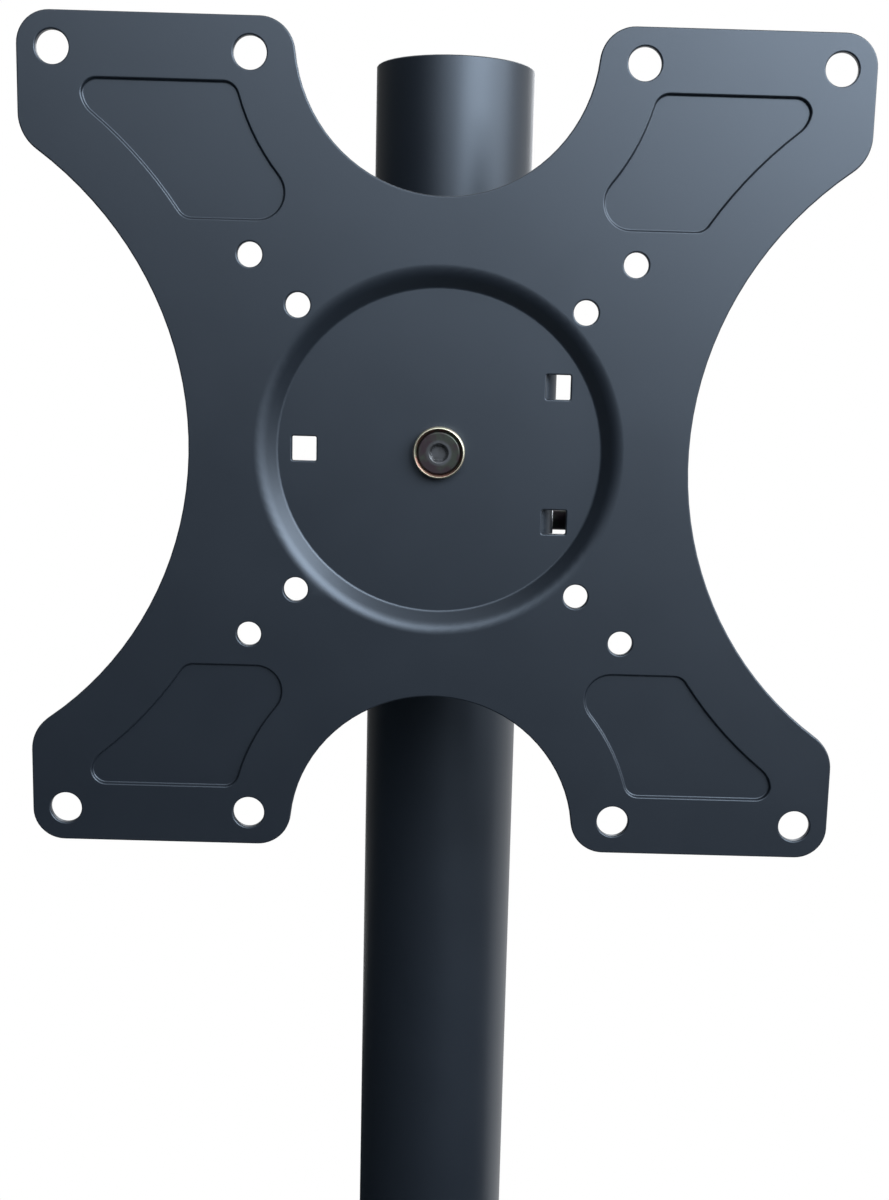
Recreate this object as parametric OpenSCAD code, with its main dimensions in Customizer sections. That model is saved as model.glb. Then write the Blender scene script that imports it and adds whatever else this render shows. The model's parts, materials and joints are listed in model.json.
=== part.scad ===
// Floor stand with a mount for a flat screen: a pole on a heavy base, a sleeve that slides
// and swivels on the pole, a tilting bracket and a turning plate.
// Millimetres, +Z up, -Y to the front, origin on the floor under the pole.

/* [Pole] */
// Outside diameter of the pole
pole_d = 50; // [44:1:60]
// Wall of the pole's tube
pole_wall = 1.8; // [1.5:0.1:3]
// Length of the pole's tube
pole_length = 1193; // [900:1:1500]
// Height of the tube's upper end above the middle of the mounting plate
plate_drop = 114; // [90:1:160]
// Chamfer on the ends of the tube
pole_chamfer = 0.3; // [0.1:0.1:0.8]

/* [Pole cap] */
// Depth of the cap's face below the end of the pole
cap_sink = 0.4; // [0.2:0.1:1]
// Thickness of the cap's face
cap_face_t = 2.5; // [1.5:0.1:4]
// Length of the cap inside the pole
cap_l = 18; // [12:1:25]
// Wall of the cap behind its face
cap_wall = 2; // [1.5:0.1:3]
// Height of the ribs that grip the pole's inside
cap_rib_h = 0.6; // [0.4:0.1:1]

/* [Base] */
// Width of the base plate
base_w = 450; // [360:5:600]
// Depth of the base plate
base_d = 400; // [340:5:600]
// Thickness of the base plate
base_t = 8; // [7:0.5:15]
// Radius of the base plate's corners
base_corner_r = 45; // [20:1:80]
// Chamfer round the top of the base plate
base_chamfer = 1.5; // [0.5:0.1:3]
// Diameter of a rubber foot
foot_d = 36; // [28:1:50]
// Height of a rubber foot
foot_h = 5; // [4:0.5:10]
// Distance of a foot's middle from the edges of the base plate
foot_inset = 42; // [30:1:60]
// Depth of the dished ring under a rubber foot
foot_ring_depth = 0.8; // [0.4:0.1:1.5]

/* [Flange] */
// Diameter of the flange that holds the pole
flange_d = 124; // [116:1:140]
// Thickness of the flange
flange_t = 8; // [6:0.5:12]
// Height of the flange's socket inside the pole
socket_h = 40; // [30:1:60]
// Wall of the flange's socket
socket_wall = 5; // [4:0.5:7]
// Diameter of the circle of flange bolts
flange_pitch_d = 92; // [88:1:98]
// Number of flange bolts
flange_bolt_count = 4; // [3:1:6]
// Height of the cross screws above the flange
cross_screw_z = 12; // [9:1:16]

/* [Foot cover] */
// Diameter of the foot cover
cover_d = 150; // [144:1:170]
// Height of the foot cover above the base plate
cover_h = 36; // [32:1:50]
// Wall of the foot cover
cover_wall = 2; // [1.5:0.1:3]
// Height of the cover's straight edge
cover_edge_h = 8; // [6:0.5:10]
// Radius of the shoulder of the cover
cover_shoulder_r = 14; // [10:1:18]
// Height of the collar at the top of the cover
cover_collar_h = 5; // [3:0.5:8]

/* [Mounting plate] */
// Thickness of the plate's sheet
sheet_t = 2; // [1.5:0.1:2.5]
// Width across the waist of the plate, between opposite hollows
waist_w = 132; // [124:1:140]
// Radius of the hollows at the sides
side_hollow_r = 92; // [84:1:100]
// Radius of the hollows at the top and bottom
end_hollow_r = 38.75; // [36:0.05:42]
// Radius of the plate's outer corners
outer_corner_r = 8.5; // [7:0.1:11]
// Radius of the corners beside the hollows at the top and bottom
end_corner_r = 9; // [7:0.1:11]
// Radius of the corners beside the hollows at the sides
side_corner_r = 11; // [8:0.1:13]
// Distance between the outer holes
outer_pitch = 200; // [196:1:204]
// Distance of the outer holes from the plate's edges
plate_margin = 9; // [7.5:0.5:14]
// Distance between the middle holes
middle_pitch = 100; // [98:1:102]
// Distance between the inner holes
inner_pitch = 75; // [74:1:76]
// Diameter of the outer holes
outer_hole_d = 8.5; // [8:0.1:9]
// Diameter of the middle and inner holes
inner_hole_d = 6.5; // [5.5:0.1:7]

/* [Pressings] */
// Depth of the round dish
dish_depth = 3.8; // [3.7:0.1:8]
// Radius of the dish's flat floor
dish_floor_r = 43.2; // [41:0.1:44]
// Width of the dish's wall, seen from the front
dish_wall_w = 5.8; // [5.2:0.1:7]
// Radius of the bend between the dish and the face of the plate
dish_bend_r = 5; // [3:0.1:5.1]
// Depth of the four shallow panels
panel_depth = 1; // [0.5:0.1:1.3]
// Distance of the panels from the plate's edge
panel_margin = 16.2; // [14:0.1:18]
// Height of the panels' inner edge above the middle of the plate
panel_low = 58.7; // [57:0.1:64]
// Radius of the panels' corners
panel_corner_r = 4; // [3:0.1:4.4]
// Radius of the panels' corner beside the hollow at the side
panel_side_r = 7; // [5:0.1:8]
// Radius of the panels' corner next to the middle
panel_inner_r = 7; // [5:0.1:8]
// Width of a square hole in the dish
square_hole = 6.5; // [5:0.1:8]
// Radius of the square holes' corners
square_corner_r = 0.4; // [0.3:0.1:1.5]
// Distance of the square holes from the middle of the plate
square_hole_r = 36; // [34:0.1:37]
// Angle of the two right-hand square holes above and below the middle
square_hole_angle = 30; // [25:1:35]

/* [Tilt bracket] */
// Distance of the plate's face from the middle of the pole
plate_reach = 92; // [90:1:110]
// Width of the tilt bracket
bracket_w = 62; // [58:1:68]
// Height of the bracket's web
bracket_h = 66; // [60:1:72]
// Thickness of the bracket
bracket_t = 3; // [2.5:0.1:4]
// Outside radius of the bracket's bends
bracket_bend_r = 4.5; // [4:0.1:6]
// Distance of the cheeks' back edge behind the pivot
cheek_back = 15; // [13:0.5:17]
// Height of the cheeks' back edge above the pivot
cheek_rise = 14; // [12:0.5:20]
// Depth of the cheeks below the locking screw
cheek_foot = 8.5; // [7:0.5:10]
// Radius of the cheeks' corners
cheek_corner_r = 9; // [5:0.5:11]
// Distance of the locking screw below the pivot
lock_drop = 22.5; // [21:0.5:24]
// Largest tilt either way
tilt_limit = 15; // [5:1:15]

/* [Swivel sleeve] */
// Wall of the sleeve's tube
sleeve_wall = 3; // [2.5:0.1:4]
// Top of the sleeve above the middle of the plate
sleeve_up = 30; // [25:1:38]
// Bottom of the sleeve below the middle of the plate
sleeve_down = 45; // [42:1:52]
// Distance of the tilt pivot from the middle of the pole
pivot_reach = 46; // [44:0.5:48]
// Thickness of the sleeve's ears
ear_t = 4; // [3:0.5:5]
// Radius of the ears round the pivot and the locking screw
ear_r = 12; // [11:0.5:14]
// Wall of the plastic liners
liner_wall = 2; // [1.5:0.1:3]
// Length of a plastic liner
liner_l = 20; // [15:1:24]
// Thickness of a liner's rim
liner_rim_t = 1.2; // [1:0.1:2]
// Width of a liner's rim on the end of the sleeve
liner_rim_w = 2; // [1.5:0.1:2.5]
// Diameter of the boss for the clamping screw
boss_d = 22; // [18:1:26]
// Length of the boss outside the sleeve
boss_l = 10; // [8:0.5:14]
// Height of the clamping screw above the middle of the sleeve
boss_rise = 0; // [-3:1:3]
// Thickness of the pressure pad
pad_t = 4; // [3.5:0.1:5]
// Diameter of the pressure pad
pad_d = 11; // [10:0.5:13]
// Room for the pressure pad to move back
pad_travel = 1.5; // [1.3:0.1:2]

/* [Stop collar] */
// Wall of the stop collar
collar_wall = 8; // [7:0.5:10]
// Height of the stop collar
collar_h = 18; // [14:1:20]
// Width of the slit in the stop collar
collar_slit = 3; // [2:0.5:4]
// Thickness of each lug of the stop collar
lug_t = 9; // [8:0.5:11]
// Thickness of the plastic ring between the collar and the sleeve
thrust_t = 2; // [1.5:0.1:3]

/* [Knobs] */
// Diameter of the knob that clamps the sleeve
sleeve_knob_d = 46; // [40:1:52]
// Length of the grip of the sleeve's knob
sleeve_knob_l = 24; // [20:1:30]
// Diameter of the knob that locks the tilt
tilt_knob_d = 36; // [30:1:36]
// Length of the grip of the tilt knob
tilt_knob_l = 20; // [16:1:24]
// Number of lobes on a knob
knob_lobes = 5; // [4:1:7]
// Diameter of a knob's neck
knob_neck_d = 16; // [14:1:18]
// Length of a knob's neck
knob_neck_l = 6; // [5:0.5:8]
// Chamfer on the ends of a knob's grip
knob_chamfer = 2.5; // [1:0.1:4]

/* [Fasteners] */
// Diameter of the large screws
large_screw_d = 8; // [7.8:0.1:8.2]
// Width across the flats of the large nuts and heads
large_af = 13; // [12:0.1:14]
// Height of a large lock nut
large_nut_h = 8; // [7:0.1:9]
// Height of a flange bolt's head
large_head_h = 5.3; // [5:0.1:6]
// Diameter of a large washer
large_washer_d = 16; // [15:0.5:17]
// Diameter of the small screws
small_screw_d = 6; // [5.8:0.1:6.1]
// Width across the flats of a small nut
small_af = 10; // [9:0.1:11]
// Height of a small nut
small_nut_h = 5; // [4.5:0.1:6]
// Diameter of a small screw's head
small_head_d = 10; // [9:0.1:11]
// Height of the collar screw's head
small_head_h = 6; // [5:0.1:7]
// Thickness of every steel washer
washer_t = 1.6; // [1.2:0.1:2]
// Diameter of the foot screws
foot_screw_d = 5; // [4:0.1:6]
// Diameter of the thread of the tilt knob's screw
tilt_thread_d = 5; // [4.8:0.1:5.2]
// Diameter of the shoulder of the tilt knob's screw
tilt_shoulder_d = 6.2; // [6:0.1:7]
// Length of the shoulder between its washer and the knob
tilt_shoulder_l = 5; // [4:0.5:7]
// Diameter of the bush that the plate turns on
bush_d = 12; // [11.5:0.1:12.5]
// Diameter of the bush's rim
bush_rim_d = 13.8; // [13.4:0.1:15]
// Height of the bush's rim
bush_rim_h = 3.3; // [3:0.1:3.3]
// Thickness of the bush's seat under the bolt's head
bush_seat_t = 0.8; // [0.6:0.1:1]
// Bevel inside the bush's rim
bush_bevel = 0.6; // [0.4:0.1:0.8]
// Diameter of the plate bolt's head
plate_head_d = 11.3; // [10.5:0.1:11.5]
// Height of the plate bolt's head
plate_head_h = 2.4; // [2.2:0.1:2.4]
// Width across the flats of the plate bolt's socket
plate_key_af = 4; // [3.5:0.1:5.5]
// Depth of the plate bolt's socket
plate_key_depth = 2; // [1.6:0.1:2.1]
// Height of the pivot bolt's domed head
pivot_head_h = 4; // [3:0.1:4.5]
// Diameter of the friction disc behind the plate
friction_disc_d = 52; // [44:1:58]
// Thickness of the friction disc
friction_disc_t = 1.2; // [0.8:0.1:2]
// Thickness of the friction washers at the tilt pivot
friction_washer_t = 1; // [0.8:0.1:1.5]
// Diameter of the friction washers at the tilt pivot
friction_washer_d = 24; // [18:1:26]

/* [Hidden] */

// Smoothness of round outlines
$fn = 96;
// Smoothness of the plate's long hollows
fine_fn = 360;
// Straight steps in the rounding of a corner beside a round hollow
corner_steps = 12;
// Overrun of a cutting shape past the face that it cuts
cut = 1;
// Length of a screw beyond its nut, and the room beyond its tip in a blind hole
screw_end = 1;
// Gap between faces that slide or turn on each other
face_gap = 0.3;
// Clearance on the radius between a shaft and the hole that it turns or slides in
run_gap = 0.06;
// Clearance on the radius of a screw in its thread
thread_gap = 0.05;
// Clearance on the radius of a screw in a plain hole
hole_gap = 0.3;
// Clearance on the radius of a part that is pushed into another
push_gap = 0.1;
// Chamfer on screw ends and on nuts
end_chamfer = 0.8;
// Width of the bevel round a key socket
key_bevel = 0.3;
// Height of the locking collar on a lock nut, as a share of the nut
nut_collar_share = 0.3;
// Diameter of a countersunk head, as a share of its screw
countersink_share = 1.8;
// Radius of a knob's hollows, their depth and the rounding of its lobes, as shares of its diameter
knob_hollow_share = 0.22;
knob_depth_share = 0.09;
knob_round_share = 0.07;

paint = [0.17, 0.19, 0.22];
plastic = [0.08, 0.08, 0.09];
rubber = [0.06, 0.06, 0.06];
zinc = [0.68, 0.69, 0.7];
black_steel = [0.1, 0.1, 0.11];
yellow_zinc = [0.72, 0.62, 0.38];
nylon = [0.86, 0.85, 0.8];

// Heights from the floor
base_z = foot_h;
flange_z = base_z + base_t;
pole_z = flange_z + flange_t;
pole_top = pole_z + pole_length;
plate_z = pole_top - plate_drop;
sleeve_bottom = plate_z - sleeve_down;
sleeve_h = sleeve_up + sleeve_down;
lower_liner_z = sleeve_bottom - liner_rim_t;
thrust_z = lower_liner_z - face_gap - thrust_t;
collar_z = thrust_z - collar_h;
boss_z = sleeve_bottom + sleeve_h/2 + boss_rise;

// Radii round the pole
pole_r = pole_d/2;
pole_bore_r = pole_r - pole_wall;
liner_bore_r = pole_r + run_gap;
liner_r = liner_bore_r + liner_wall;
sleeve_bore_r = liner_r + push_gap;
sleeve_r = sleeve_bore_r + sleeve_wall;
collar_r = pole_r + run_gap + collar_wall;
collar_screw_y = collar_r + collar_h/2;
lug_x = collar_slit/2 + lug_t;

// Depths from the middle of the pole, negative to the front
face_y = -plate_reach;
floor_front_y = face_y + dish_depth;
floor_back_y = floor_front_y + sheet_t;
web_front_y = floor_back_y + friction_disc_t + face_gap;
web_back_y = web_front_y + bracket_t;
pivot_y = -pivot_reach;

// Widths across the tilt pivot
cheek_out_x = bracket_w/2;
cheek_in_x = cheek_out_x - bracket_t;
ear_out_x = cheek_in_x - friction_washer_t - face_gap;
ear_in_x = ear_out_x - ear_t;
knob_washer_x = cheek_out_x + face_gap;
tilt_neck_x = knob_washer_x + washer_t + tilt_shoulder_l;

// Width and height of the plate, and its hollows
plate_size = outer_pitch + 2*plate_margin;
side_hollow_x = waist_w/2 + side_hollow_r;
end_hollow_z = waist_w/2 + end_hollow_r;

// Pieces of fasteners
spring_washer_t = washer_t/2;
large_washer_id = large_screw_d + 2*hole_gap;
small_washer_d = small_head_d + 2*washer_t;
foot_head_d = countersink_share*foot_screw_d;
foot_head_h = foot_screw_d/2;
foot_hole_h = base_t - screw_end;

// Cuts a corner at k back to a rounding of radius r about c, between its tangent points a and b
module corner_cut(a, k, b, c, r) {
    difference() {
        polygon([a, k + cut*(k - c)/norm(k - c), b]);
        translate(c)
            circle(r);
    }
}

// The same for a corner beside a round hollow, with its rounding drawn in short straight steps.
// The first and the last step run on past the tangent points, so that they cross the edges
module stepped_corner_cut(a, k, b, c, r) {
    turn = acos((a - c)*(b - c)/r^2);
    rounding = [
        for (i = [1:corner_steps - 1])
            let (on = turn*i/corner_steps)
            c + ((a - c)*sin(turn - on) + (b - c)*sin(on))/sin(turn)
    ];
    start = a + (a - rounding[0])/2;
    end = b + (b - rounding[corner_steps - 2])/2;
    polygon(concat([k + cut*(k - c)/norm(k - c), start], rounding, [end]));
}

// Polygon with a radius for each of its corners, which all point outwards
module rounded_polygon(points, radii) {
    last = len(points) - 1;
    difference() {
        polygon(points);
        for (i = [0:last])
            if (radii[i] > 0) {
                k = points[i];
                back = points[i == 0 ? last : i - 1] - k;
                on = points[i == last ? 0 : i + 1] - k;
                u = back/norm(back);
                v = on/norm(on);
                half = acos(u*v)/2;
                reach = radii[i]/tan(half);
                corner_cut(
                    k + reach*u, k, k + reach*v,
                    k + (u + v)/norm(u + v)*radii[i]/sin(half), radii[i]
                );
            }
    }
}

// Rounds the corner between a hollow about c and the line y = level. The shape lies below the
// line where inward is -1, and right of the hollow where side is 1
module hollow_corner_cut(c, hollow_r, level, inward, side, r) {
    mid_y = level + inward*r;
    mid = [c.x + side*sqrt((hollow_r + r)^2 - (mid_y - c.y)^2), mid_y];
    corner = [c.x + side*sqrt(hollow_r^2 - (level - c.y)^2), level];
    stepped_corner_cut([mid.x, level], corner, c + (mid - c)*hollow_r/(hollow_r + r), mid, r);
}

// Stands a shape that is drawn upwards on its side, so that it points to the right
module to_right(x, y, z) {
    translate([x, y, z])
        rotate([0, 90, 0])
            children();
}

// The same, so that it points to the left
module to_left(x, y, z) {
    translate([x, y, z])
        rotate([0, -90, 0])
            children();
}

// The same, so that it points to the back
module to_back(y, z) {
    translate([0, y, z])
        rotate([-90, 0, 0])
            children();
}

// The same, so that it points to the front
module to_front(y, z) {
    translate([0, y, z])
        rotate([90, 0, 0])
            children();
}

// A flat shape drawn in depth and height, made x_to - x_from thick across the stand
module side_plate(x_from, x_to) {
    translate([x_from, 0, 0])
        rotate([90, 0, 90])
            linear_extrude(x_to - x_from)
                children();
}

// The same shape on the left and on the right
module both_sides() {
    children();
    mirror([1, 0, 0])
        children();
}

module tube(h, r, bore_r) {
    difference() {
        cylinder(h = h, r = r);
        translate([0, 0, -cut])
            cylinder(h = h + 2*cut, r = bore_r);
    }
}

module washer(d, t, bore_d) {
    tube(t, d/2, bore_d/2);
}

// Turned rod with a chamfered end at the bottom
module shank(d, l) {
    rotate_extrude()
        polygon([[0, 0], [0, -l], [d/2 - end_chamfer, -l], [d/2, end_chamfer - l], [d/2, 0]]);
}

// Hexagon with its top corners turned off, drawn upwards
module hexagon(af, h) {
    corner_r = af/2/cos(30);
    intersection() {
        cylinder(h = h, r = corner_r, $fn = 6);
        rotate_extrude()
            polygon([
                [0, 0], [corner_r + cut, 0], [corner_r + cut, h - end_chamfer],
                [corner_r, h - end_chamfer], [corner_r - end_chamfer, h], [0, h]
            ]);
    }
}

module hexagon_nut(af, h, d) {
    difference() {
        hexagon(af, h);
        translate([0, 0, -cut])
            cylinder(h = h + 2*cut, d = d + 2*thread_gap);
    }
}

// Nut with a round collar that holds a locking insert
module lock_nut_shape(af, h, d) {
    difference() {
        union() {
            hexagon(af, h*(1 - nut_collar_share));
            cylinder(h = h, d = af - end_chamfer);
        }
        translate([0, 0, -cut])
            cylinder(h = h + 2*cut, d = d + 2*thread_gap);
    }
}

// Socket for a hexagon key, cut into a face at the origin, with a bevel round its mouth
module key_socket(af, depth) {
    across = af/cos(30);
    translate([0, 0, -depth])
        cylinder(h = depth + cut, d = across, $fn = 6);
    translate([0, 0, -2*key_bevel])
        cylinder(h = 4*key_bevel, d1 = across - 2*key_bevel, d2 = across + 6*key_bevel);
}

// Round head drawn upwards, with a rounded edge that leaves a short straight side
module domed_head(r, h) {
    edge_h = h/4;
    rotate_extrude()
        rounded_polygon([[0, 0], [r, 0], [r, h], [0, h]], [0, 0, h - edge_h, 0]);
}

// Base plate

// Section of the base plate from a line inside its edge to the edge, l away
module edge_section(l) {
    polygon([[0, 0], [l, 0], [l, base_t - base_chamfer], [l - base_chamfer, base_t], [0, base_t]]);
}

module base_blank() {
    x = base_w/2 - base_corner_r;
    y = base_d/2 - base_corner_r;
    both_sides() {
        translate([0, y, 0])
            rotate([90, 0, 0])
                linear_extrude(2*y)
                    edge_section(base_w/2);
        for (turn = [0, 1])
            mirror([0, turn, 0]) {
                translate([0, y, 0])
                    rotate([90, 0, 90])
                        linear_extrude(x)
                            edge_section(base_corner_r);
                translate([x, y, 0])
                    rotate_extrude(angle = 90)
                        edge_section(base_corner_r);
            }
    }
}

module at_feet() {
    for (x = [-1, 1], y = [-1, 1])
        translate([x*(base_w/2 - foot_inset), y*(base_d/2 - foot_inset), 0])
            children();
}

module at_flange_bolts() {
    for (i = [0:flange_bolt_count - 1])
        rotate((i + 1/2)*360/flange_bolt_count)
            translate([flange_pitch_d/2, 0, 0])
                children();
}

module base_plate() {
    color(paint)
        difference() {
            translate([0, 0, base_z])
                base_blank();
            at_flange_bolts()
                translate([0, 0, base_z - cut])
                    cylinder(h = base_t + 2*cut, d = large_screw_d + 2*thread_gap);
            at_feet()
                translate([0, 0, base_z - cut])
                    cylinder(h = cut + foot_hole_h, d = foot_screw_d + 2*thread_gap);
        }
}

module rubber_foot() {
    r = foot_d/2;
    head_r = foot_head_d/2 + hole_gap;
    screw_r = foot_screw_d/2 + hole_gap;
    ring_r = (r + head_r)/2;
    rotate_extrude()
        polygon([
            [screw_r, foot_h], [screw_r, foot_ring_depth + foot_head_h],
            [head_r, foot_ring_depth], [head_r, 0], [ring_r, 0],
            [ring_r, foot_ring_depth/2], [ring_r + foot_ring_depth, foot_ring_depth/2],
            [ring_r + foot_ring_depth, 0], [r - foot_ring_depth, 0], [r, foot_ring_depth],
            [r, foot_h - foot_ring_depth], [r - foot_ring_depth, foot_h]
        ]);
}

module base_feet() {
    color(rubber)
        at_feet()
            rubber_foot();
}

module foot_screw() {
    head_z = foot_ring_depth;
    tip_z = base_z + foot_hole_h - screw_end;
    difference() {
        rotate_extrude()
            polygon([
                [0, head_z], [foot_head_d/2, head_z], [foot_screw_d/2, head_z + foot_head_h],
                [foot_screw_d/2, tip_z - end_chamfer], [foot_screw_d/2 - end_chamfer, tip_z],
                [0, tip_z]
            ]);
        translate([0, 0, head_z - cut])
            cylinder(h = cut + foot_head_h/2, d = foot_screw_d/2/cos(30), $fn = 6);
    }
}

module foot_screws() {
    color(zinc)
        at_feet()
            foot_screw();
}

// Flange and its cover

module cross_screw_bore(r) {
    to_left(pole_r + cut, 0, pole_z + cross_screw_z)
        cylinder(h = pole_d + 2*cut, r = r);
}

module foot_flange() {
    socket_r = pole_bore_r - push_gap;
    color(paint)
        difference() {
            rotate_extrude()
                polygon([
                    [0, flange_z], [flange_d/2, flange_z],
                    [flange_d/2, pole_z - base_chamfer], [flange_d/2 - base_chamfer, pole_z],
                    [socket_r, pole_z], [socket_r, pole_z + socket_h - end_chamfer],
                    [socket_r - end_chamfer, pole_z + socket_h],
                    [socket_r - socket_wall, pole_z + socket_h], [socket_r - socket_wall, pole_z],
                    [0, pole_z]
                ]);
            at_flange_bolts()
                translate([0, 0, flange_z - cut])
                    cylinder(h = flange_t + 2*cut, d = large_screw_d + 2*hole_gap);
            cross_screw_bore(small_screw_d/2 + thread_gap);
        }
}

module flange_washers() {
    color(zinc)
        at_flange_bolts()
            translate([0, 0, pole_z])
                washer(large_washer_d, washer_t, large_washer_id);
}

module flange_bolts() {
    color(zinc)
        at_flange_bolts()
            translate([0, 0, pole_z + washer_t]) {
                hexagon(large_af, large_head_h);
                shank(large_screw_d, washer_t + flange_t + base_t - screw_end);
            }
}

// Half of the cover's section without its collar, in by w from its outside
module cover_section(w) {
    roof_z = cover_h - cover_collar_h - w;
    rounded_polygon([
        [0, 0], [cover_d/2 - w, 0], [cover_d/2 - w, cover_edge_h + cover_shoulder_r - w],
        [pole_r + 2*cover_wall - w, roof_z], [0, roof_z]
    ], [0, 0, cover_shoulder_r - w, 0, 0]);
}

module foot_cover() {
    color(plastic)
        translate([0, 0, flange_z])
            rotate_extrude()
                difference() {
                    union() {
                        cover_section(0);
                        square([pole_r + 2*cover_wall, cover_h]);
                    }
                    cover_section(cover_wall);
                    translate([0, -cut])
                        square([cover_d/2 - cover_wall, 2*cut]);
                    translate([0, -cut])
                        square([pole_r + face_gap, cover_h + 2*cut]);
                }
}

// Pole

module pole() {
    color(paint)
        difference() {
            rotate_extrude()
                polygon([
                    [pole_bore_r, pole_z], [pole_r - pole_chamfer, pole_z],
                    [pole_r, pole_z + pole_chamfer], [pole_r, pole_top - pole_chamfer],
                    [pole_r - pole_chamfer, pole_top], [pole_bore_r, pole_top]
                ]);
            cross_screw_bore(small_screw_d/2 + hole_gap);
        }
}

module pole_screw() {
    head_h = small_head_h/2;
    to_right(pole_r + thread_gap, 0, pole_z + cross_screw_z)
        difference() {
            union() {
                domed_head(small_head_d/2, head_h);
                shank(small_screw_d, pole_wall + socket_wall + screw_end);
            }
            translate([0, 0, head_h])
                key_socket(small_screw_d/2, head_h/2);
        }
}

module pole_screws() {
    color(zinc)
        both_sides()
            pole_screw();
}

// Plug that is pushed into the end of the pole until its face is level with the tube
module pole_cap() {
    face_r = pole_bore_r - push_gap;
    wall_r = face_r - cap_rib_h;
    rib_count = 12;
    color(plastic)
        translate([0, 0, pole_top - cap_sink]) {
            rotate_extrude()
                rounded_polygon(
                    [[0, -cap_face_t], [face_r, -cap_face_t], [face_r, 0], [0, 0]],
                    [0, 0, cap_rib_h, 0]
                );
            translate([0, 0, -cap_l])
                tube(cap_l - cap_face_t, wall_r, wall_r - cap_wall);
            for (i = [0:rib_count - 1])
                rotate(i*360/rib_count)
                    translate([wall_r - cap_rib_h, -cap_rib_h, cap_wall - cap_l])
                        cube([2*cap_rib_h, 2*cap_rib_h, cap_l - cap_wall - cap_face_t]);
        }
}

// Stop collar

module lug_section() {
    mid_z = collar_z + collar_h/2;
    translate([collar_screw_y, mid_z])
        circle(d = collar_h);
    translate([pole_r, collar_z])
        square([collar_screw_y - pole_r, collar_h]);
}

module stop_collar() {
    mid_z = collar_z + collar_h/2;
    color(paint)
        difference() {
            union() {
                translate([0, 0, collar_z])
                    cylinder(h = collar_h, r = collar_r);
                side_plate(-lug_x, lug_x)
                    lug_section();
            }
            translate([0, 0, collar_z - cut])
                cylinder(h = collar_h + 2*cut, r = pole_r + run_gap);
            translate([-collar_slit/2, 0, collar_z - cut])
                cube([collar_slit, collar_screw_y + collar_h, collar_h + 2*cut]);
            to_left(lug_x + cut, collar_screw_y, mid_z)
                cylinder(h = 2*lug_x + 2*cut, d = small_screw_d + 2*hole_gap);
            to_right(lug_x - small_nut_h, collar_screw_y, mid_z)
                cylinder(h = small_nut_h + cut, d = (small_af + 2*push_gap)/cos(30), $fn = 6);
        }
}

module collar_screw() {
    color(zinc)
        to_left(-lug_x, collar_screw_y, collar_z + collar_h/2)
            difference() {
                union() {
                    rotate_extrude()
                        polygon([
                            [0, 0], [small_head_d/2, 0], [small_head_d/2, small_head_h - end_chamfer],
                            [small_head_d/2 - end_chamfer, small_head_h], [0, small_head_h]
                        ]);
                    shank(small_screw_d, 2*lug_x);
                }
                translate([0, 0, small_head_h])
                    key_socket(small_af/2, small_head_h/2);
            }
}

module collar_nut() {
    color(zinc)
        to_right(lug_x - small_nut_h, collar_screw_y, collar_z + collar_h/2)
            hexagon_nut(small_af, small_nut_h, small_screw_d);
}

module thrust_ring() {
    color(plastic)
        translate([0, 0, thrust_z])
            tube(thrust_t, collar_r - 2*face_gap, pole_r + face_gap);
}

// Swivel sleeve

module ear_section() {
    front_y = pivot_y - ear_r;
    back_y = -sleeve_r/3;
    top_z = plate_z + ear_r;
    low_z = plate_z - lock_drop - ear_r;
    rounded_polygon(
        [[front_y, low_z], [front_y, top_z], [back_y, top_z], [back_y, low_z]],
        [ear_r, ear_r, 0, 0]
    );
}

module swivel_sleeve() {
    color(paint)
        difference() {
            union() {
                translate([0, 0, sleeve_bottom])
                    cylinder(h = sleeve_h, r = sleeve_r);
                to_back(sleeve_bore_r, boss_z)
                    cylinder(h = sleeve_wall + boss_l, d = boss_d);
                side_plate(ear_in_x, ear_out_x)
                    ear_section();
                side_plate(-ear_out_x, -ear_in_x)
                    ear_section();
            }
            translate([0, 0, sleeve_bottom - cut])
                cylinder(h = sleeve_h + 2*cut, r = sleeve_bore_r);
            to_back(pole_r, boss_z)
                cylinder(h = pad_t + pad_travel, d = pad_d + 2*run_gap);
            to_back(pole_r, boss_z)
                cylinder(h = sleeve_r + boss_l, d = large_screw_d + 2*run_gap);
            to_left(cheek_out_x, pivot_y, plate_z)
                cylinder(h = bracket_w, d = large_screw_d + 2*run_gap);
            to_right(0, pivot_y, plate_z - lock_drop)
                cylinder(h = cheek_out_x, d = tilt_thread_d + 2*run_gap);
        }
}

module liner() {
    rotate_extrude()
        polygon([
            [liner_bore_r, -liner_l], [liner_r, -liner_l], [liner_r, 0],
            [liner_r + liner_rim_w, 0], [liner_r + liner_rim_w, liner_rim_t],
            [liner_bore_r, liner_rim_t]
        ]);
}

module upper_liner() {
    color(plastic)
        translate([0, 0, plate_z + sleeve_up])
            liner();
}

module lower_liner() {
    color(plastic)
        translate([0, 0, sleeve_bottom])
            mirror([0, 0, 1])
                liner();
}

module pressure_pad() {
    color(nylon)
        difference() {
            to_back(pole_r, boss_z)
                cylinder(h = pad_t, d = pad_d);
            translate([0, 0, boss_z - pad_d])
                cylinder(h = 2*pad_d, r = pole_r + face_gap);
        }
}

module pivot_spacer() {
    color(zinc)
        to_left(ear_in_x, pivot_y, plate_z)
            tube(2*ear_in_x, large_washer_d/2, large_screw_d/2 + run_gap);
}

module lock_nut() {
    color(zinc)
        to_left(ear_in_x, pivot_y, plate_z - lock_drop)
            difference() {
                hexagon(small_af, small_nut_h);
                translate([0, 0, -cut])
                    cylinder(h = small_nut_h + 2*cut, d = tilt_thread_d + 2*run_gap);
            }
}

// Knobs

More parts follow.
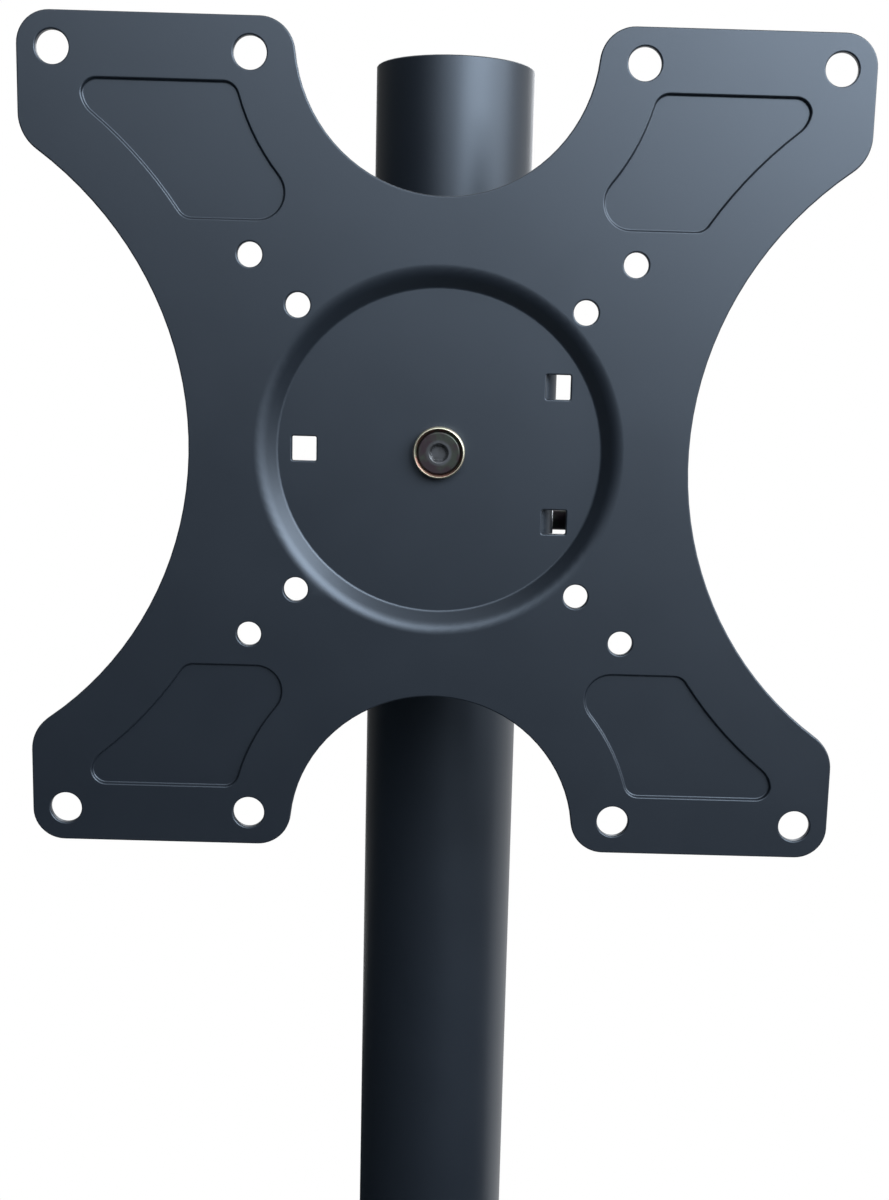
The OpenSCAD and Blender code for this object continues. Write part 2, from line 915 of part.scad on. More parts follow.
// Outline of a grip: a disc with hollows, and its lobes rounded between them
module knob_outline(d) {
    hollow_r = d*knob_hollow_share;
    round_r = d*knob_round_share;
    hollow_x = d/2 + hollow_r - d*knob_depth_share;
    rim_r = d/2;
    corner_x = (rim_r^2 - hollow_r^2 + hollow_x^2)/(2*hollow_x);
    corner = [corner_x, sqrt(rim_r^2 - corner_x^2)];
    mid_r = rim_r - round_r;
    mid_x = (mid_r^2 - (hollow_r + round_r)^2 + hollow_x^2)/(2*hollow_x);
    mid = [mid_x, sqrt(mid_r^2 - mid_x^2)];
    hollow = [hollow_x, 0];
    difference() {
        circle(rim_r);
        for (i = [0:knob_lobes - 1])
            rotate(i*360/knob_lobes) {
                translate(hollow)
                    circle(hollow_r);
                for (s = [0, 1])
                    mirror([0, s])
                        stepped_corner_cut(
                            mid*rim_r/mid_r, corner,
                            hollow + (mid - hollow)*hollow_r/(hollow_r + round_r), mid, round_r
                        );
            }
    }
}

// Grip drawn upwards on a round neck, with a blind hole for its stud
module knob(d, l, stud_d, stud_in) {
    difference() {
        union() {
            cylinder(h = knob_neck_l + cut, d = knob_neck_d);
            translate([0, 0, knob_neck_l])
                intersection() {
                    linear_extrude(l)
                        knob_outline(d);
                    rotate_extrude()
                        polygon([
                            [0, 0], [d/2 - knob_chamfer, 0], [d/2, knob_chamfer],
                            [d/2, l - knob_chamfer], [d/2 - knob_chamfer, l], [0, l]
                        ]);
                }
        }
        translate([0, 0, -cut])
            cylinder(h = stud_in + cut, d = stud_d + 2*thread_gap);
    }
}

sleeve_neck_y = sleeve_r + boss_l + large_nut_h;
sleeve_stud_y = pole_r + pad_t + face_gap;
sleeve_stud_end_y = sleeve_neck_y + sleeve_knob_l - screw_end;

module sleeve_knob() {
    color(plastic)
        to_back(sleeve_neck_y, boss_z)
            knob(sleeve_knob_d, sleeve_knob_l, large_screw_d, sleeve_knob_l);
}

module sleeve_stud() {
    color(zinc)
        to_back(sleeve_stud_end_y, boss_z)
            shank(large_screw_d, sleeve_stud_end_y - sleeve_stud_y);
}

module tilt_knob() {
    color(plastic)
        to_right(tilt_neck_x, pivot_y, plate_z - lock_drop)
            knob(tilt_knob_d, tilt_knob_l, tilt_shoulder_d, tilt_knob_l);
}

// Stud with a shoulder that presses on its washer, and a thinner thread through the slot
module tilt_stud() {
    thread_l = knob_washer_x + washer_t - (ear_in_x - small_nut_h - screw_end);
    shoulder_l = tilt_shoulder_l + tilt_knob_l - screw_end;
    color(black_steel)
        to_right(knob_washer_x + washer_t, pivot_y, plate_z - lock_drop) {
            shank(tilt_thread_d, thread_l);
            cylinder(h = shoulder_l, d = tilt_shoulder_d);
        }
}

module tilt_knob_washer() {
    color(zinc)
        to_right(knob_washer_x, pivot_y, plate_z - lock_drop)
            washer(small_washer_d, washer_t, tilt_thread_d + 2*thread_gap);
}

// Tilt bracket

// Section of the bracket seen from above: a web with a cheek bent back from each end
module bracket_section() {
    flat_x = cheek_out_x - bracket_bend_r;
    cheek_y = web_front_y + bracket_bend_r;
    translate([-flat_x, web_front_y])
        square([2*flat_x, bracket_t]);
    both_sides() {
        translate([cheek_in_x, cheek_y])
            square([bracket_t, pivot_y + cheek_back + cut - cheek_y]);
        translate([flat_x, cheek_y])
            intersection() {
                difference() {
                    circle(bracket_bend_r);
                    circle(bracket_bend_r - bracket_t);
                }
                translate([0, -bracket_bend_r])
                    square(bracket_bend_r);
            }
    }
}

// The bracket seen from the side: full height at the web, lower at the back
module cheek_section() {
    front_y = web_front_y - cut;
    bend_y = web_front_y + bracket_bend_r;
    back_y = pivot_y + cheek_back;
    top_z = plate_z + bracket_h/2;
    low_z = plate_z - bracket_h/2;
    foot_z = plate_z - lock_drop - cheek_foot;
    rounded_polygon(
        [
            [front_y, low_z], [front_y, top_z], [bend_y, top_z],
            [back_y, plate_z + cheek_rise], [back_y, foot_z], [bend_y, low_z]
        ],
        [0, 0, 0, cheek_corner_r, cheek_corner_r, 0]
    );
}

// Curved slot for the locking screw, cut through the right-hand cheek
module lock_slot() {
    slot_r = tilt_thread_d/2 + hole_gap;
    to_right(cheek_in_x - cut, pivot_y, plate_z)
        for (a = [-tilt_limit, tilt_limit])
            rotate(a)
                translate([lock_drop, 0, 0])
                    cylinder(h = bracket_t + 2*cut, r = slot_r);
    to_right(cheek_in_x - cut, pivot_y, plate_z)
        rotate(-tilt_limit)
            rotate_extrude(angle = 2*tilt_limit)
                translate([lock_drop - slot_r, 0])
                    square([2*slot_r, bracket_t + 2*cut]);
}

module tilt_bracket() {
    color(paint)
        difference() {
            intersection() {
                translate([0, 0, plate_z - bracket_h/2])
                    linear_extrude(bracket_h)
                        bracket_section();
                side_plate(-bracket_w, bracket_w)
                    cheek_section();
            }
            to_left(bracket_w, pivot_y, plate_z)
                cylinder(h = 2*bracket_w, d = large_screw_d + 2*thread_gap);
            lock_slot();
            to_back(web_front_y - cut, plate_z)
                cylinder(h = bracket_t + 2*cut, d = large_screw_d + 2*thread_gap);
        }
}

module pivot_bolt() {
    color(zinc)
        to_left(-cheek_out_x, pivot_y, plate_z) {
            domed_head(large_washer_d/2, pivot_head_h);
            shank(large_screw_d, bracket_w + washer_t + large_nut_h + screw_end);
        }
}

module pivot_washer() {
    color(zinc)
        to_right(cheek_out_x, pivot_y, plate_z)
            washer(large_washer_d, washer_t, large_washer_id);
}

module pivot_nut() {
    color(zinc)
        to_right(cheek_out_x + washer_t, pivot_y, plate_z)
            lock_nut_shape(large_af, large_nut_h, large_screw_d);
}

module tilt_friction_washers() {
    color(nylon)
        both_sides()
            to_left(cheek_in_x, pivot_y, plate_z)
                washer(friction_washer_d, friction_washer_t, large_screw_d + 2*thread_gap);
}

bush_y = floor_front_y - face_gap;

// Bush that the plate turns on, drawn to the front: its rim holds the plate and its end stands
// on the bracket
module centre_bush() {
    bore_r = large_screw_d/2 + thread_gap;
    head_r = plate_head_d/2 + push_gap;
    rim_r = bush_rim_d/2;
    end = bush_y - web_front_y;
    edge = bush_bevel/2;
    color(yellow_zinc)
        to_front(bush_y, plate_z)
            rotate_extrude()
                polygon([
                    [bore_r, end], [bush_d/2, end], [bush_d/2, 0], [rim_r, 0],
                    [rim_r, bush_rim_h - edge], [rim_r - edge, bush_rim_h],
                    [head_r + bush_bevel, bush_rim_h], [head_r, bush_rim_h - bush_bevel],
                    [head_r, bush_seat_t], [bore_r, bush_seat_t]
                ]);
}

module plate_bolt() {
    stack = bush_seat_t + web_back_y - bush_y + washer_t + 2*spring_washer_t + large_nut_h
        + screw_end;
    edge = bush_bevel/2;
    color(black_steel)
        to_front(bush_y - bush_seat_t, plate_z)
            difference() {
                union() {
                    rotate_extrude()
                        polygon([
                            [0, 0], [plate_head_d/2, 0], [plate_head_d/2, plate_head_h - edge],
                            [plate_head_d/2 - edge, plate_head_h], [0, plate_head_h]
                        ]);
                    shank(large_screw_d, stack);
                }
                translate([0, 0, plate_head_h])
                    key_socket(plate_key_af, plate_key_depth);
            }
}

module plate_washer() {
    color(zinc)
        to_back(web_back_y, plate_z)
            washer(large_washer_d, washer_t, large_washer_id);
}

// Two cupped washers, back to back
module spring_washers() {
    cup = spring_washer_t/3;
    bore_r = large_screw_d/2 + hole_gap;
    rim_r = large_washer_d/2;
    color(zinc)
        to_back(web_back_y + washer_t, plate_z)
            for (pass = [0, 1])
                translate([0, 0, pass*2*spring_washer_t])
                    mirror([0, 0, pass])
                        rotate_extrude()
                            polygon([
                                [bore_r, cup], [rim_r, 0], [rim_r, spring_washer_t - cup],
                                [bore_r, spring_washer_t]
                            ]);
}

module plate_nut() {
    color(zinc)
        to_back(web_back_y + washer_t + 2*spring_washer_t, plate_z)
            lock_nut_shape(large_af, large_nut_h, large_screw_d);
}

// Mounting plate

// The three outer corners of a quarter of the plate or of a panel
module quarter_corners(half, side_r, end_r, radii) {
    inside = half - radii[1];
    corner_cut([inside, half], [half, half], [half, inside], [inside, inside], radii[1]);
    hollow_corner_cut([0, end_hollow_z], end_r, half, -1, 1, radii[0]);
    mirror([1, -1])
        hollow_corner_cut([0, side_hollow_x], side_r, half, -1, 1, radii[2]);
}

module four_quarters() {
    for (x = [0, 1], z = [0, 1])
        mirror([x, 0])
            mirror([0, z])
                children();
}

module plate_outline() {
    difference() {
        square(plate_size, center = true);
        for (s = [-1, 1]) {
            translate([s*side_hollow_x, 0])
                circle(side_hollow_r, $fn = fine_fn);
            translate([0, s*end_hollow_z])
                circle(end_hollow_r);
        }
        four_quarters()
            quarter_corners(
                plate_size/2, side_hollow_r, end_hollow_r,
                [end_corner_r, outer_corner_r, side_corner_r]
            );
    }
}

// A shallow panel, brought in from the plate's edge, cut off below and made larger by grow
module panel_outline(grow) {
    half = plate_size/2 - panel_margin + grow;
    low = panel_low - grow;
    side_r = side_hollow_r + panel_margin - grow;
    end_r = end_hollow_r + panel_margin - grow;
    r = panel_corner_r + grow;
    low_r = panel_inner_r + grow;
    difference() {
        translate([0, low])
            square([half, half - low]);
        translate([side_hollow_x, 0])
            circle(side_r, $fn = fine_fn);
        translate([0, end_hollow_z])
            circle(end_r);
        quarter_corners(half, side_r, end_r, [r, r, panel_side_r + grow]);
        hollow_corner_cut([side_hollow_x, 0], side_r, low, 1, -1, r);
        hollow_corner_cut([0, end_hollow_z], end_r, low, 1, 1, low_r);
    }
}

// The dish is drawn from its axis outwards and from the plate's face backwards. Its wall leaves
// the floor's edge and runs out in a bend about dish_bend
dish_rim_r = dish_floor_r + dish_wall_w;
dish_edge = [dish_floor_r, dish_depth];
dish_bend = [dish_rim_r, dish_bend_r];
dish_slope = atan2(dish_depth - dish_bend_r, dish_wall_w)
    + asin(dish_bend_r/norm(dish_bend - dish_edge));
dish_out = [sin(dish_slope), cos(dish_slope)];

// The hollow in front of the dish
module dish_hollow() {
    difference() {
        polygon([
            [0, -cut], [dish_rim_r, -cut], [dish_rim_r, 0], dish_bend - dish_bend_r*dish_out,
            dish_edge, [0, dish_depth]
        ]);
        translate(dish_bend)
            circle(dish_bend_r);
    }
}

// The pressed sheet and the hollow together
module dish_body() {
    difference() {
        union() {
            polygon([
                [0, sheet_t/2], [dish_rim_r, sheet_t/2], [dish_rim_r, sheet_t],
                dish_bend - (dish_bend_r - sheet_t)*dish_out, dish_edge + sheet_t*dish_out,
                [dish_floor_r, dish_depth + sheet_t], [0, dish_depth + sheet_t]
            ]);
            translate(dish_edge)
                circle(sheet_t);
        }
        translate(dish_bend)
            circle(dish_bend_r - sheet_t);
    }
}

module plate_blank() {
    to_front(face_y + sheet_t, plate_z)
        linear_extrude(sheet_t)
            plate_outline();
    to_back(face_y, plate_z)
        rotate_extrude()
            dish_body();
    to_front(face_y + sheet_t + panel_depth, plate_z)
        linear_extrude(panel_depth + sheet_t/2)
            four_quarters()
                panel_outline(panel_depth);
}

module round_holes(x_pitch, z_pitch, d) {
    for (x = [-1, 1], z = [-1, 1])
        translate([x*x_pitch/2, 0, z*z_pitch/2])
            to_back(face_y - cut, plate_z)
                cylinder(h = sheet_t + 2*cut, d = d);
}

module square_holes() {
    half = square_hole/2;
    r = square_corner_r;
    for (a = [180, square_hole_angle, -square_hole_angle])
        to_back(floor_front_y - cut, plate_z)
            translate([square_hole_r*cos(a), square_hole_r*sin(a), 0])
                linear_extrude(sheet_t + 2*cut)
                    rounded_polygon(
                        [[-half, -half], [half, -half], [half, half], [-half, half]], [r, r, r, r]
                    );
}

module vesa_plate() {
    color(paint)
        difference() {
            plate_blank();
            to_back(face_y, plate_z)
                rotate_extrude()
                    dish_hollow();
            to_front(face_y + panel_depth, plate_z)
                linear_extrude(panel_depth + cut)
                    four_quarters()
                        panel_outline(0);
            round_holes(outer_pitch, outer_pitch, outer_hole_d);
            round_holes(middle_pitch, outer_pitch, outer_hole_d);
            round_holes(middle_pitch, middle_pitch, inner_hole_d);
            round_holes(inner_pitch, inner_pitch, inner_hole_d);
            square_holes();
            to_back(floor_front_y - cut, plate_z)
                cylinder(h = sheet_t + 2*cut, d = bush_d + 2*run_gap);
        }
}

module friction_disc() {
    color(nylon)
        to_back(floor_back_y, plate_z)
            washer(friction_disc_d, friction_disc_t, bush_d + 2*hole_gap);
}

base_plate();
base_feet();
foot_screws();
foot_flange();
flange_bolts();
flange_washers();
foot_cover();
pole();
pole_screws();
pole_cap();
stop_collar();
collar_screw();
collar_nut();
thrust_ring();
swivel_sleeve();
upper_liner();
lower_liner();
pressure_pad();
pivot_spacer();
lock_nut();
sleeve_knob();
sleeve_stud();
tilt_bracket();
pivot_bolt();
pivot_washer();
pivot_nut();
tilt_friction_washers();
centre_bush();
plate_bolt();
plate_washer();
spring_washers();
plate_nut();
tilt_knob();
tilt_stud();
tilt_knob_washer();
vesa_plate();
friction_disc();
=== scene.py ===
"""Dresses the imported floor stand: the pressed mounting plate, its tilting head, the sleeve on
the pole and the base, each with its own finish, in a plain studio."""

import json
import logging
import math
from dataclasses import dataclass
from enum import Enum
from typing import Any, Iterable, Protocol, Sequence

import bmesh
import bpy
from mathutils import Matrix, Vector


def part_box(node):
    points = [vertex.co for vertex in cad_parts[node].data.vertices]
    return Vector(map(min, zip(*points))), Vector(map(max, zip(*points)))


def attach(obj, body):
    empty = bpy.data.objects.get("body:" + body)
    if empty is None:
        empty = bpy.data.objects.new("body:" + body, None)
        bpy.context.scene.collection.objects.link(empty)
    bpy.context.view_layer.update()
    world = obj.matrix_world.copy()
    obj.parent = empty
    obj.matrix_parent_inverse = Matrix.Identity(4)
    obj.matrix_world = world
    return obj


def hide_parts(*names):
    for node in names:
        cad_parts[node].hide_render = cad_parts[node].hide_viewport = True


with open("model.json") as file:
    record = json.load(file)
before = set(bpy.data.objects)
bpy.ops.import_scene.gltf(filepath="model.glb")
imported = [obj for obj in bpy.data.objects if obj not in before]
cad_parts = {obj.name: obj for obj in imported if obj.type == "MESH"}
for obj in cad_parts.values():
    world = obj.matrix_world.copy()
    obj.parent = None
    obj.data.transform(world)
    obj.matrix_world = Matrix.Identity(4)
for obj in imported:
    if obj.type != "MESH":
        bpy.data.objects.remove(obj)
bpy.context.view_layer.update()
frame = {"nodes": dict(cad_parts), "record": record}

LOG = logging.getLogger("floor_stand")
MM = 0.001

Colour = tuple[float, float, float]
Place = tuple[float, float, float]

# points nearer than this are merged, and the finer one is for small turned rings
MERGE = 0.002 * MM
FINE_MERGE = 0.0005 * MM

# how strongly large faces pull the shading of their corners
FACE_WEIGHT = 100

# what lamps and standing cards face, and how far the lying ones are over the floor
AIM: Place = (0.0, -0.09, 1.1)
CARD_LIFT = 3 * MM


class Body(Enum):
    """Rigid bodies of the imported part."""

    STAND = "stand"
    CARRIAGE = "carriage"
    SWIVEL = "swivel"
    CLAMP_PAD = "clamp_pad"
    CLAMP_KNOB = "clamp_knob"
    TILT_HEAD = "tilt_head"
    LOCK_WASHER = "lock_washer"
    LOCK_KNOB = "lock_knob"
    SCREEN_PLATE = "screen_plate"


class Slot(Enum):
    """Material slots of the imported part."""

    POWDER_COAT = "powder_coat"
    BLACK_PLASTIC = "black_plastic"
    RUBBER = "rubber"
    ZINC = "zinc"
    YELLOW_ZINC = "yellow_zinc"
    BLACK_STEEL = "black_steel"
    NYLON = "nylon"


def box_of(node: str) -> tuple[Vector, Vector]:
    """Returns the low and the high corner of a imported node's box."""
    low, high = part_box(node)
    return Vector(low), Vector(high)


def middle_of(node: str) -> Vector:
    """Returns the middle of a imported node's box."""
    low, high = box_of(node)
    return (low + high) / 2


class Value:
    """A number in a shader that takes part in Python arithmetic."""

    def __init__(self, shader: "Nodes", socket: bpy.types.NodeSocket) -> None:
        """Wraps an output socket.

        Args:
            shader: The tree that the arithmetic adds its nodes to.
            socket: The output that carries the number.
        """
        self.shader = shader
        self.socket = socket

    def _with(self, operation: str, first: Any, second: Any) -> "Value":
        """Adds one Math node.

        Args:
            operation: The Math node's operation.
            first: Its first number or value.
            second: Its second number or value.

        Returns:
            The node's result.
        """
        node = self.shader.node(
            "ShaderNodeMath", {"operation": operation}, {0: first, 1: second}
        )
        return Value(self.shader, node.outputs[0])

    def __add__(self, other: Any) -> "Value":
        """Returns self + other."""
        return self._with("ADD", self, other)

    __radd__ = __add__

    def __mul__(self, other: Any) -> "Value":
        """Returns self * other."""
        return self._with("MULTIPLY", self, other)

    __rmul__ = __mul__

    def __sub__(self, other: Any) -> "Value":
        """Returns self - other."""
        return self._with("SUBTRACT", self, other)

    def __rsub__(self, other: Any) -> "Value":
        """Returns other - self."""
        return self._with("SUBTRACT", other, self)

    def __truediv__(self, other: Any) -> "Value":
        """Returns self / other."""
        return self._with("DIVIDE", self, other)

    def __rtruediv__(self, other: Any) -> "Value":
        """Returns other / self."""
        return self._with("DIVIDE", other, self)

    def __pow__(self, other: Any) -> "Value":
        """Returns self ** other."""
        return self._with("POWER", self, other)

    def __rpow__(self, other: Any) -> "Value":
        """Returns other ** self."""
        return self._with("POWER", other, self)

    def ramp(self, low: float, high: float) -> "Value":
        """Stretches low to high over 0 to 1 and holds it there.

        Args:
            low: The number that becomes 0.
            high: The number that becomes 1.

        Returns:
            The stretched value.
        """
        node = self.shader.node(
            "ShaderNodeMapRange",
            {"interpolation_type": "SMOOTHSTEP", "clamp": True},
            {"Value": self, "From Min": low, "From Max": high},
        )
        return Value(self.shader, node.outputs[0])


class Nodes:
    """A node tree, built in plain calls."""

    def __init__(self, owner: bpy.types.Material | bpy.types.World) -> None:
        """Empties a material's or a world's tree.

        Args:
            owner: The material or world.
        """
        owner.use_nodes = True
        self.tree = owner.node_tree
        self.tree.nodes.clear()

    def node(
        self,
        kind: str,
        settings: dict[str, Any] | None = None,
        inputs: dict[Any, Any] | None = None,
    ) -> bpy.types.Node:
        """Adds a node.

        Args:
            kind: The node's type.
            settings: The node's own settings, set before its sockets.
            inputs: A number, colour, socket or Value for each named or numbered input.

        Returns:
            The new node.
        """
        node = self.tree.nodes.new(kind)
        for key, setting in (settings or {}).items():
            setattr(node, key, setting)
        for key, given in (inputs or {}).items():
            source = given.socket if isinstance(given, Value) else given
            if isinstance(source, bpy.types.NodeSocket):
                self.tree.links.new(source, node.inputs[key])
            else:
                node.inputs[key].default_value = source
        return node


class Shader(Nodes):
    """A material's node tree, on the object's own coordinates."""

    def __init__(self, name: str) -> None:
        """Makes an empty material.

        Args:
            name: The material's name.
        """
        self.material = bpy.data.materials.new(name)
        super().__init__(self.material)
        self.output = self.node("ShaderNodeOutputMaterial")
        self.place = self.node("ShaderNodeTexCoord").outputs["Object"]

    def noise(self, size: float, detail: float = 2.0) -> Value:
        """Adds a soft random pattern.

        Args:
            size: The width of its patches in metres.
            detail: How many finer layers lie over it.

        Returns:
            The pattern, between 0 and 1.
        """
        node = self.node(
            "ShaderNodeTexNoise",
            None,
            {"Vector": self.place, "Scale": 1.0 / size, "Detail": detail},
        )
        return Value(self, node.outputs[0])

    def blend(self, factor: Value, first: Any, second: Any) -> bpy.types.NodeSocket:
        """Mixes two colours.

        Args:
            factor: 0 for the first colour, 1 for the second.
            first: A colour or a colour socket.
            second: A colour or a colour socket.

        Returns:
            The mixed colour.
        """
        pair = [c if isinstance(c, bpy.types.NodeSocket) else (*c, 1.0) for c in (first, second)]
        node = self.node(
            "ShaderNodeMix", {"data_type": "RGBA"}, {0: factor, 6: pair[0], 7: pair[1]}
        )
        return node.outputs[2]

    def bump(self, height: Value, depth: float) -> bpy.types.NodeSocket:
        """Turns a pattern into relief.

        Args:
            height: The pattern.
            depth: The height in metres of its highest point over its lowest.

        Returns:
            The bent normal.
        """
        node = self.node(
            "ShaderNodeBump", None, {"Height": height, "Distance": depth, "Strength": 1.0}
        )
        return node.outputs[0]

    def surface(self, **inputs: Any) -> bpy.types.Material:
        """Ends the tree in a Principled BSDF.

        Args:
            **inputs: Its inputs, with underscores for the spaces in their names.

        Returns:
            The finished material.
        """
        named = {
            key.replace("_", " "): (*given, 1.0) if isinstance(given, tuple) else given
            for key, given in inputs.items()
        }
        node = self.node("ShaderNodeBsdfPrincipled", None, named)
        self.tree.links.new(node.outputs[0], self.output.inputs[0])
        return self.material


@dataclass(frozen=True)
class Finish:
    """A finish of one material slot."""

    slot: Slot
    colour: Colour
    roughness: float

    def material(self) -> bpy.types.Material:
        """Builds the finish's material."""
        raise NotImplementedError

    def uneven(self, pattern: Value, spread: float) -> Value:
        """Varies the roughness round the finish's own.

        Args:
            pattern: A pattern between 0 and 1.
            spread: How far the roughness goes from its lowest to its highest.

        Returns:
            The roughness.
        """
        return pattern * spread + (self.roughness - spread / 2)


@dataclass(frozen=True)
class PowderCoat(Finish):
    """Satin powder coat: a fine orange peel over a dark blue-grey."""

    peel: float = 0.9 * MM
    peel_depth: float = 0.006 * MM
    mottle: float = 22 * MM
    mottle_share: float = 0.9
    spread: float = 0.05
    specular: float = 0.64
    gloss_tint: Colour = (0.68, 0.82, 1.0)

    def material(self) -> bpy.types.Material:
        """Builds the finish's material.

        Returns:
            The material.
        """
        shader = Shader(self.slot.value)
        mottle = shader.noise(self.mottle, detail=3.0)
        peel = shader.noise(self.peel)
        darker = tuple(c * self.mottle_share for c in self.colour)
        return shader.surface(
            Base_Color=shader.blend(mottle, darker, self.colour),
            Roughness=self.uneven(mottle, self.spread),
            Specular_IOR_Level=self.specular,
            Specular_Tint=self.gloss_tint,
            Normal=shader.bump(peel, self.peel_depth),
        )


@dataclass(frozen=True)
class Moulding(Finish):
    """Moulded plastic or rubber with a fine spark-eroded grain."""

    grain: float = 0.5 * MM
    grain_depth: float = 0.02 * MM
    spread: float = 0.1
    specular: float = 0.4

    def material(self) -> bpy.types.Material:
        """Builds the finish's material.

        Returns:
            The material.
        """
        shader = Shader(self.slot.value)
        grain = shader.noise(self.grain, detail=3.0)
        return shader.surface(
            Base_Color=self.colour,
            Roughness=self.uneven(grain, self.spread),
            Specular_IOR_Level=self.specular,
            Normal=shader.bump(grain, self.grain_depth),
        )


@dataclass(frozen=True)
class Plating(Finish):
    """Plated steel, a little uneven in tone, with a second tint where the film is thicker."""

    tint: Colour
    metallic: float = 1.0
    film: tuple[float, float] = (0.35, 0.65)
    patch: float = 3 * MM
    grain: float = 0.25 * MM
    grain_depth: float = 0.004 * MM
    spread: float = 0.12

    def tone(self, shader: Shader) -> bpy.types.NodeSocket:
        """Mixes the colour of the plating.

        Args:
            shader: The shader that it is for.

        Returns:
            The colour.
        """
        film = shader.noise(self.patch, detail=3.0).ramp(*self.film)
        return shader.blend(film, self.colour, self.tint)

    def material(self) -> bpy.types.Material:
        """Builds the finish's material.

        Returns:
            The material.
        """
        shader = Shader(self.slot.value)
        grain = shader.noise(self.grain)
        return shader.surface(
            Base_Color=self.tone(shader),
            Roughness=self.uneven(grain, self.spread),
            Metallic=self.metallic,
            Normal=shader.bump(grain, self.grain_depth),
        )


@dataclass(frozen=True, kw_only=True)
class PaintedLightRingPlating(Plating):
    """Plating of a turned piece, with another pair of tints within a radius of its axis that paint
    light or shade there: painted shade inside a bush's rim for the dark its inner face reflects, a
    painted highlight round a bolt's socket.
    """

    film: tuple[float, float] = (0.4, 0.6)
    node: str
    # radii over which the plating gives way to the painted light or shade inside
    ring: tuple[float, float]
    # the two tints of the painted light or shade inside the ring
    inside: tuple[Colour, Colour]

    def tone(self, shader: Shader) -> bpy.types.NodeSocket:
        """Mixes the plating with the painted light or shade inside the ring by how far a point lies
        from the piece's axis.

        Args:
            shader: The shader that it is for.

        Returns:
            The colour.
        """
        parts = shader.node("ShaderNodeSeparateXYZ", None, {"Vector": shader.place})
        across = Value(shader, parts.outputs[0])
        up = Value(shader, parts.outputs[2]) - middle_of(self.node).z
        outside = ((across * across + up * up) ** 0.5).ramp(*self.ring)
        film = shader.noise(self.patch, detail=3.0).ramp(*self.film)
        # painted light or shade inside the ring, mottled by the film
        inner = shader.blend(film, *self.inside)
        return shader.blend(outside, inner, shader.blend(film, self.colour, self.tint))


FINISHES: tuple[Finish, ...] = (
    PowderCoat(Slot.POWDER_COAT, (0.0050, 0.0070, 0.0105), 0.42),
    Moulding(Slot.BLACK_PLASTIC, (0.010, 0.010, 0.011), 0.5),
    Moulding(Slot.RUBBER, (0.012, 0.012, 0.012), 0.8, specular=0.2),
    Moulding(Slot.NYLON, (0.66, 0.64, 0.57), 0.42, grain_depth=0.006 * MM),
    Plating(Slot.ZINC, (0.55, 0.56, 0.58), 0.34, tint=(0.48, 0.50, 0.54)),
    # the bush's plating, painted dark inside its rim: painted shade for the dark reflection of its
    # inner face
    PaintedLightRingPlating(
        Slot.YELLOW_ZINC, (0.43, 0.39, 0.32), 0.44, tint=(0.38, 0.39, 0.31),
        node="centre_bush", ring=(6.35 * MM, 6.5 * MM),
        inside=((0.10, 0.115, 0.085), (0.15, 0.085, 0.07)),
    ),
    # the bolt's black steel, painted lighter out to 3 mm from its axis, socket included: a painted
    # highlight for the light a chamfer round the socket catches
    PaintedLightRingPlating(
        Slot.BLACK_STEEL, (0.036, 0.044, 0.038), 0.4, tint=(0.032, 0.024, 0.030), metallic=0.8,
        node="plate_bolt", ring=(3.0 * MM, 3.7 * MM),
        inside=((0.070, 0.076, 0.086), (0.052, 0.056, 0.062)),
    ),
)


def mesh_of(name: str, bm: bmesh.types.BMesh) -> bpy.types.Mesh:
    """Turns a bmesh into a mesh.

    Args:
        name: The mesh's name.
        bm: The bmesh. It is freed here.

    Returns:
        The mesh.
    """
    mesh = bpy.data.meshes.new(name)
    bm.to_mesh(mesh)
    bm.free()
    return mesh


def placed(name: str, data: bpy.types.ID) -> bpy.types.Object:
    """Puts a mesh, a lamp or a camera into the scene.

    Args:
        name: The object's name.
        data: What it shows.

    Returns:
        The new object, at the origin.
    """
    thing = bpy.data.objects.new(name, data)
    bpy.context.scene.collection.objects.link(thing)
    return thing


class Wardrobe:
    """Builds each finish once and hands it out by slot."""

    def __init__(self, finishes: Iterable[Finish]) -> None:
        """Builds the materials.

        Args:
            finishes: One finish for each slot of the part.
        """
        self.materials = {finish.slot: finish.material() for finish in finishes}

    def dress_cad(self) -> None:
        """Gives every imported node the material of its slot."""
        for part in frame["record"]["subparts"]:
            node = frame["nodes"][part["node"]]
            node.data.materials.clear()
            node.data.materials.append(self.materials[Slot(part["material_slot"])])

    def dress(
        self, name: str, bm: bmesh.types.BMesh, body: Body, slot: Slot, replaces: Sequence[str] = ()
    ) -> bpy.types.Object:
        """Turns a finished bmesh into a piece of the part.

        Args:
            name: The piece's name.
            bm: The mesh, in place in the part's frame. It is freed here.
            body: The body that the piece rides on.
            slot: The slot that its finish comes from.
            replaces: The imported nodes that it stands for.

        Returns:
            The new object.
        """
        mesh = mesh_of(name, bm)
        mesh.shade_smooth()
        mesh.materials.append(self.materials[slot])
        piece = placed(name, mesh)
        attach(piece, body.value)
        if replaces:
            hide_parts(*replaces)
        LOG.info("%s: %d faces, rides on %s", name, len(mesh.polygons), body.value)
        return piece


class Piece(Protocol):
    """A plan that the wardrobe's materials turn into one object."""

    def build(self, wardrobe: Wardrobe) -> bpy.types.Object:
        """Makes the object."""


def even_shading(piece: bpy.types.Object) -> None:
    """Gives flat faces their own normals and leaves the turn to the rounded edges.

    Args:
        piece: The object whose mesh is shaded smooth.
    """
    weights = piece.modifiers.new("even_shading", "WEIGHTED_NORMAL")
    weights.mode = "FACE_AREA"
    weights.weight = FACE_WEIGHT
    graph = bpy.context.evaluated_depsgraph_get()
    shaded = bpy.data.meshes.new_from_object(piece.evaluated_get(graph))
    shaded.name = piece.data.name
    piece.modifiers.clear()
    piece.data = shaded


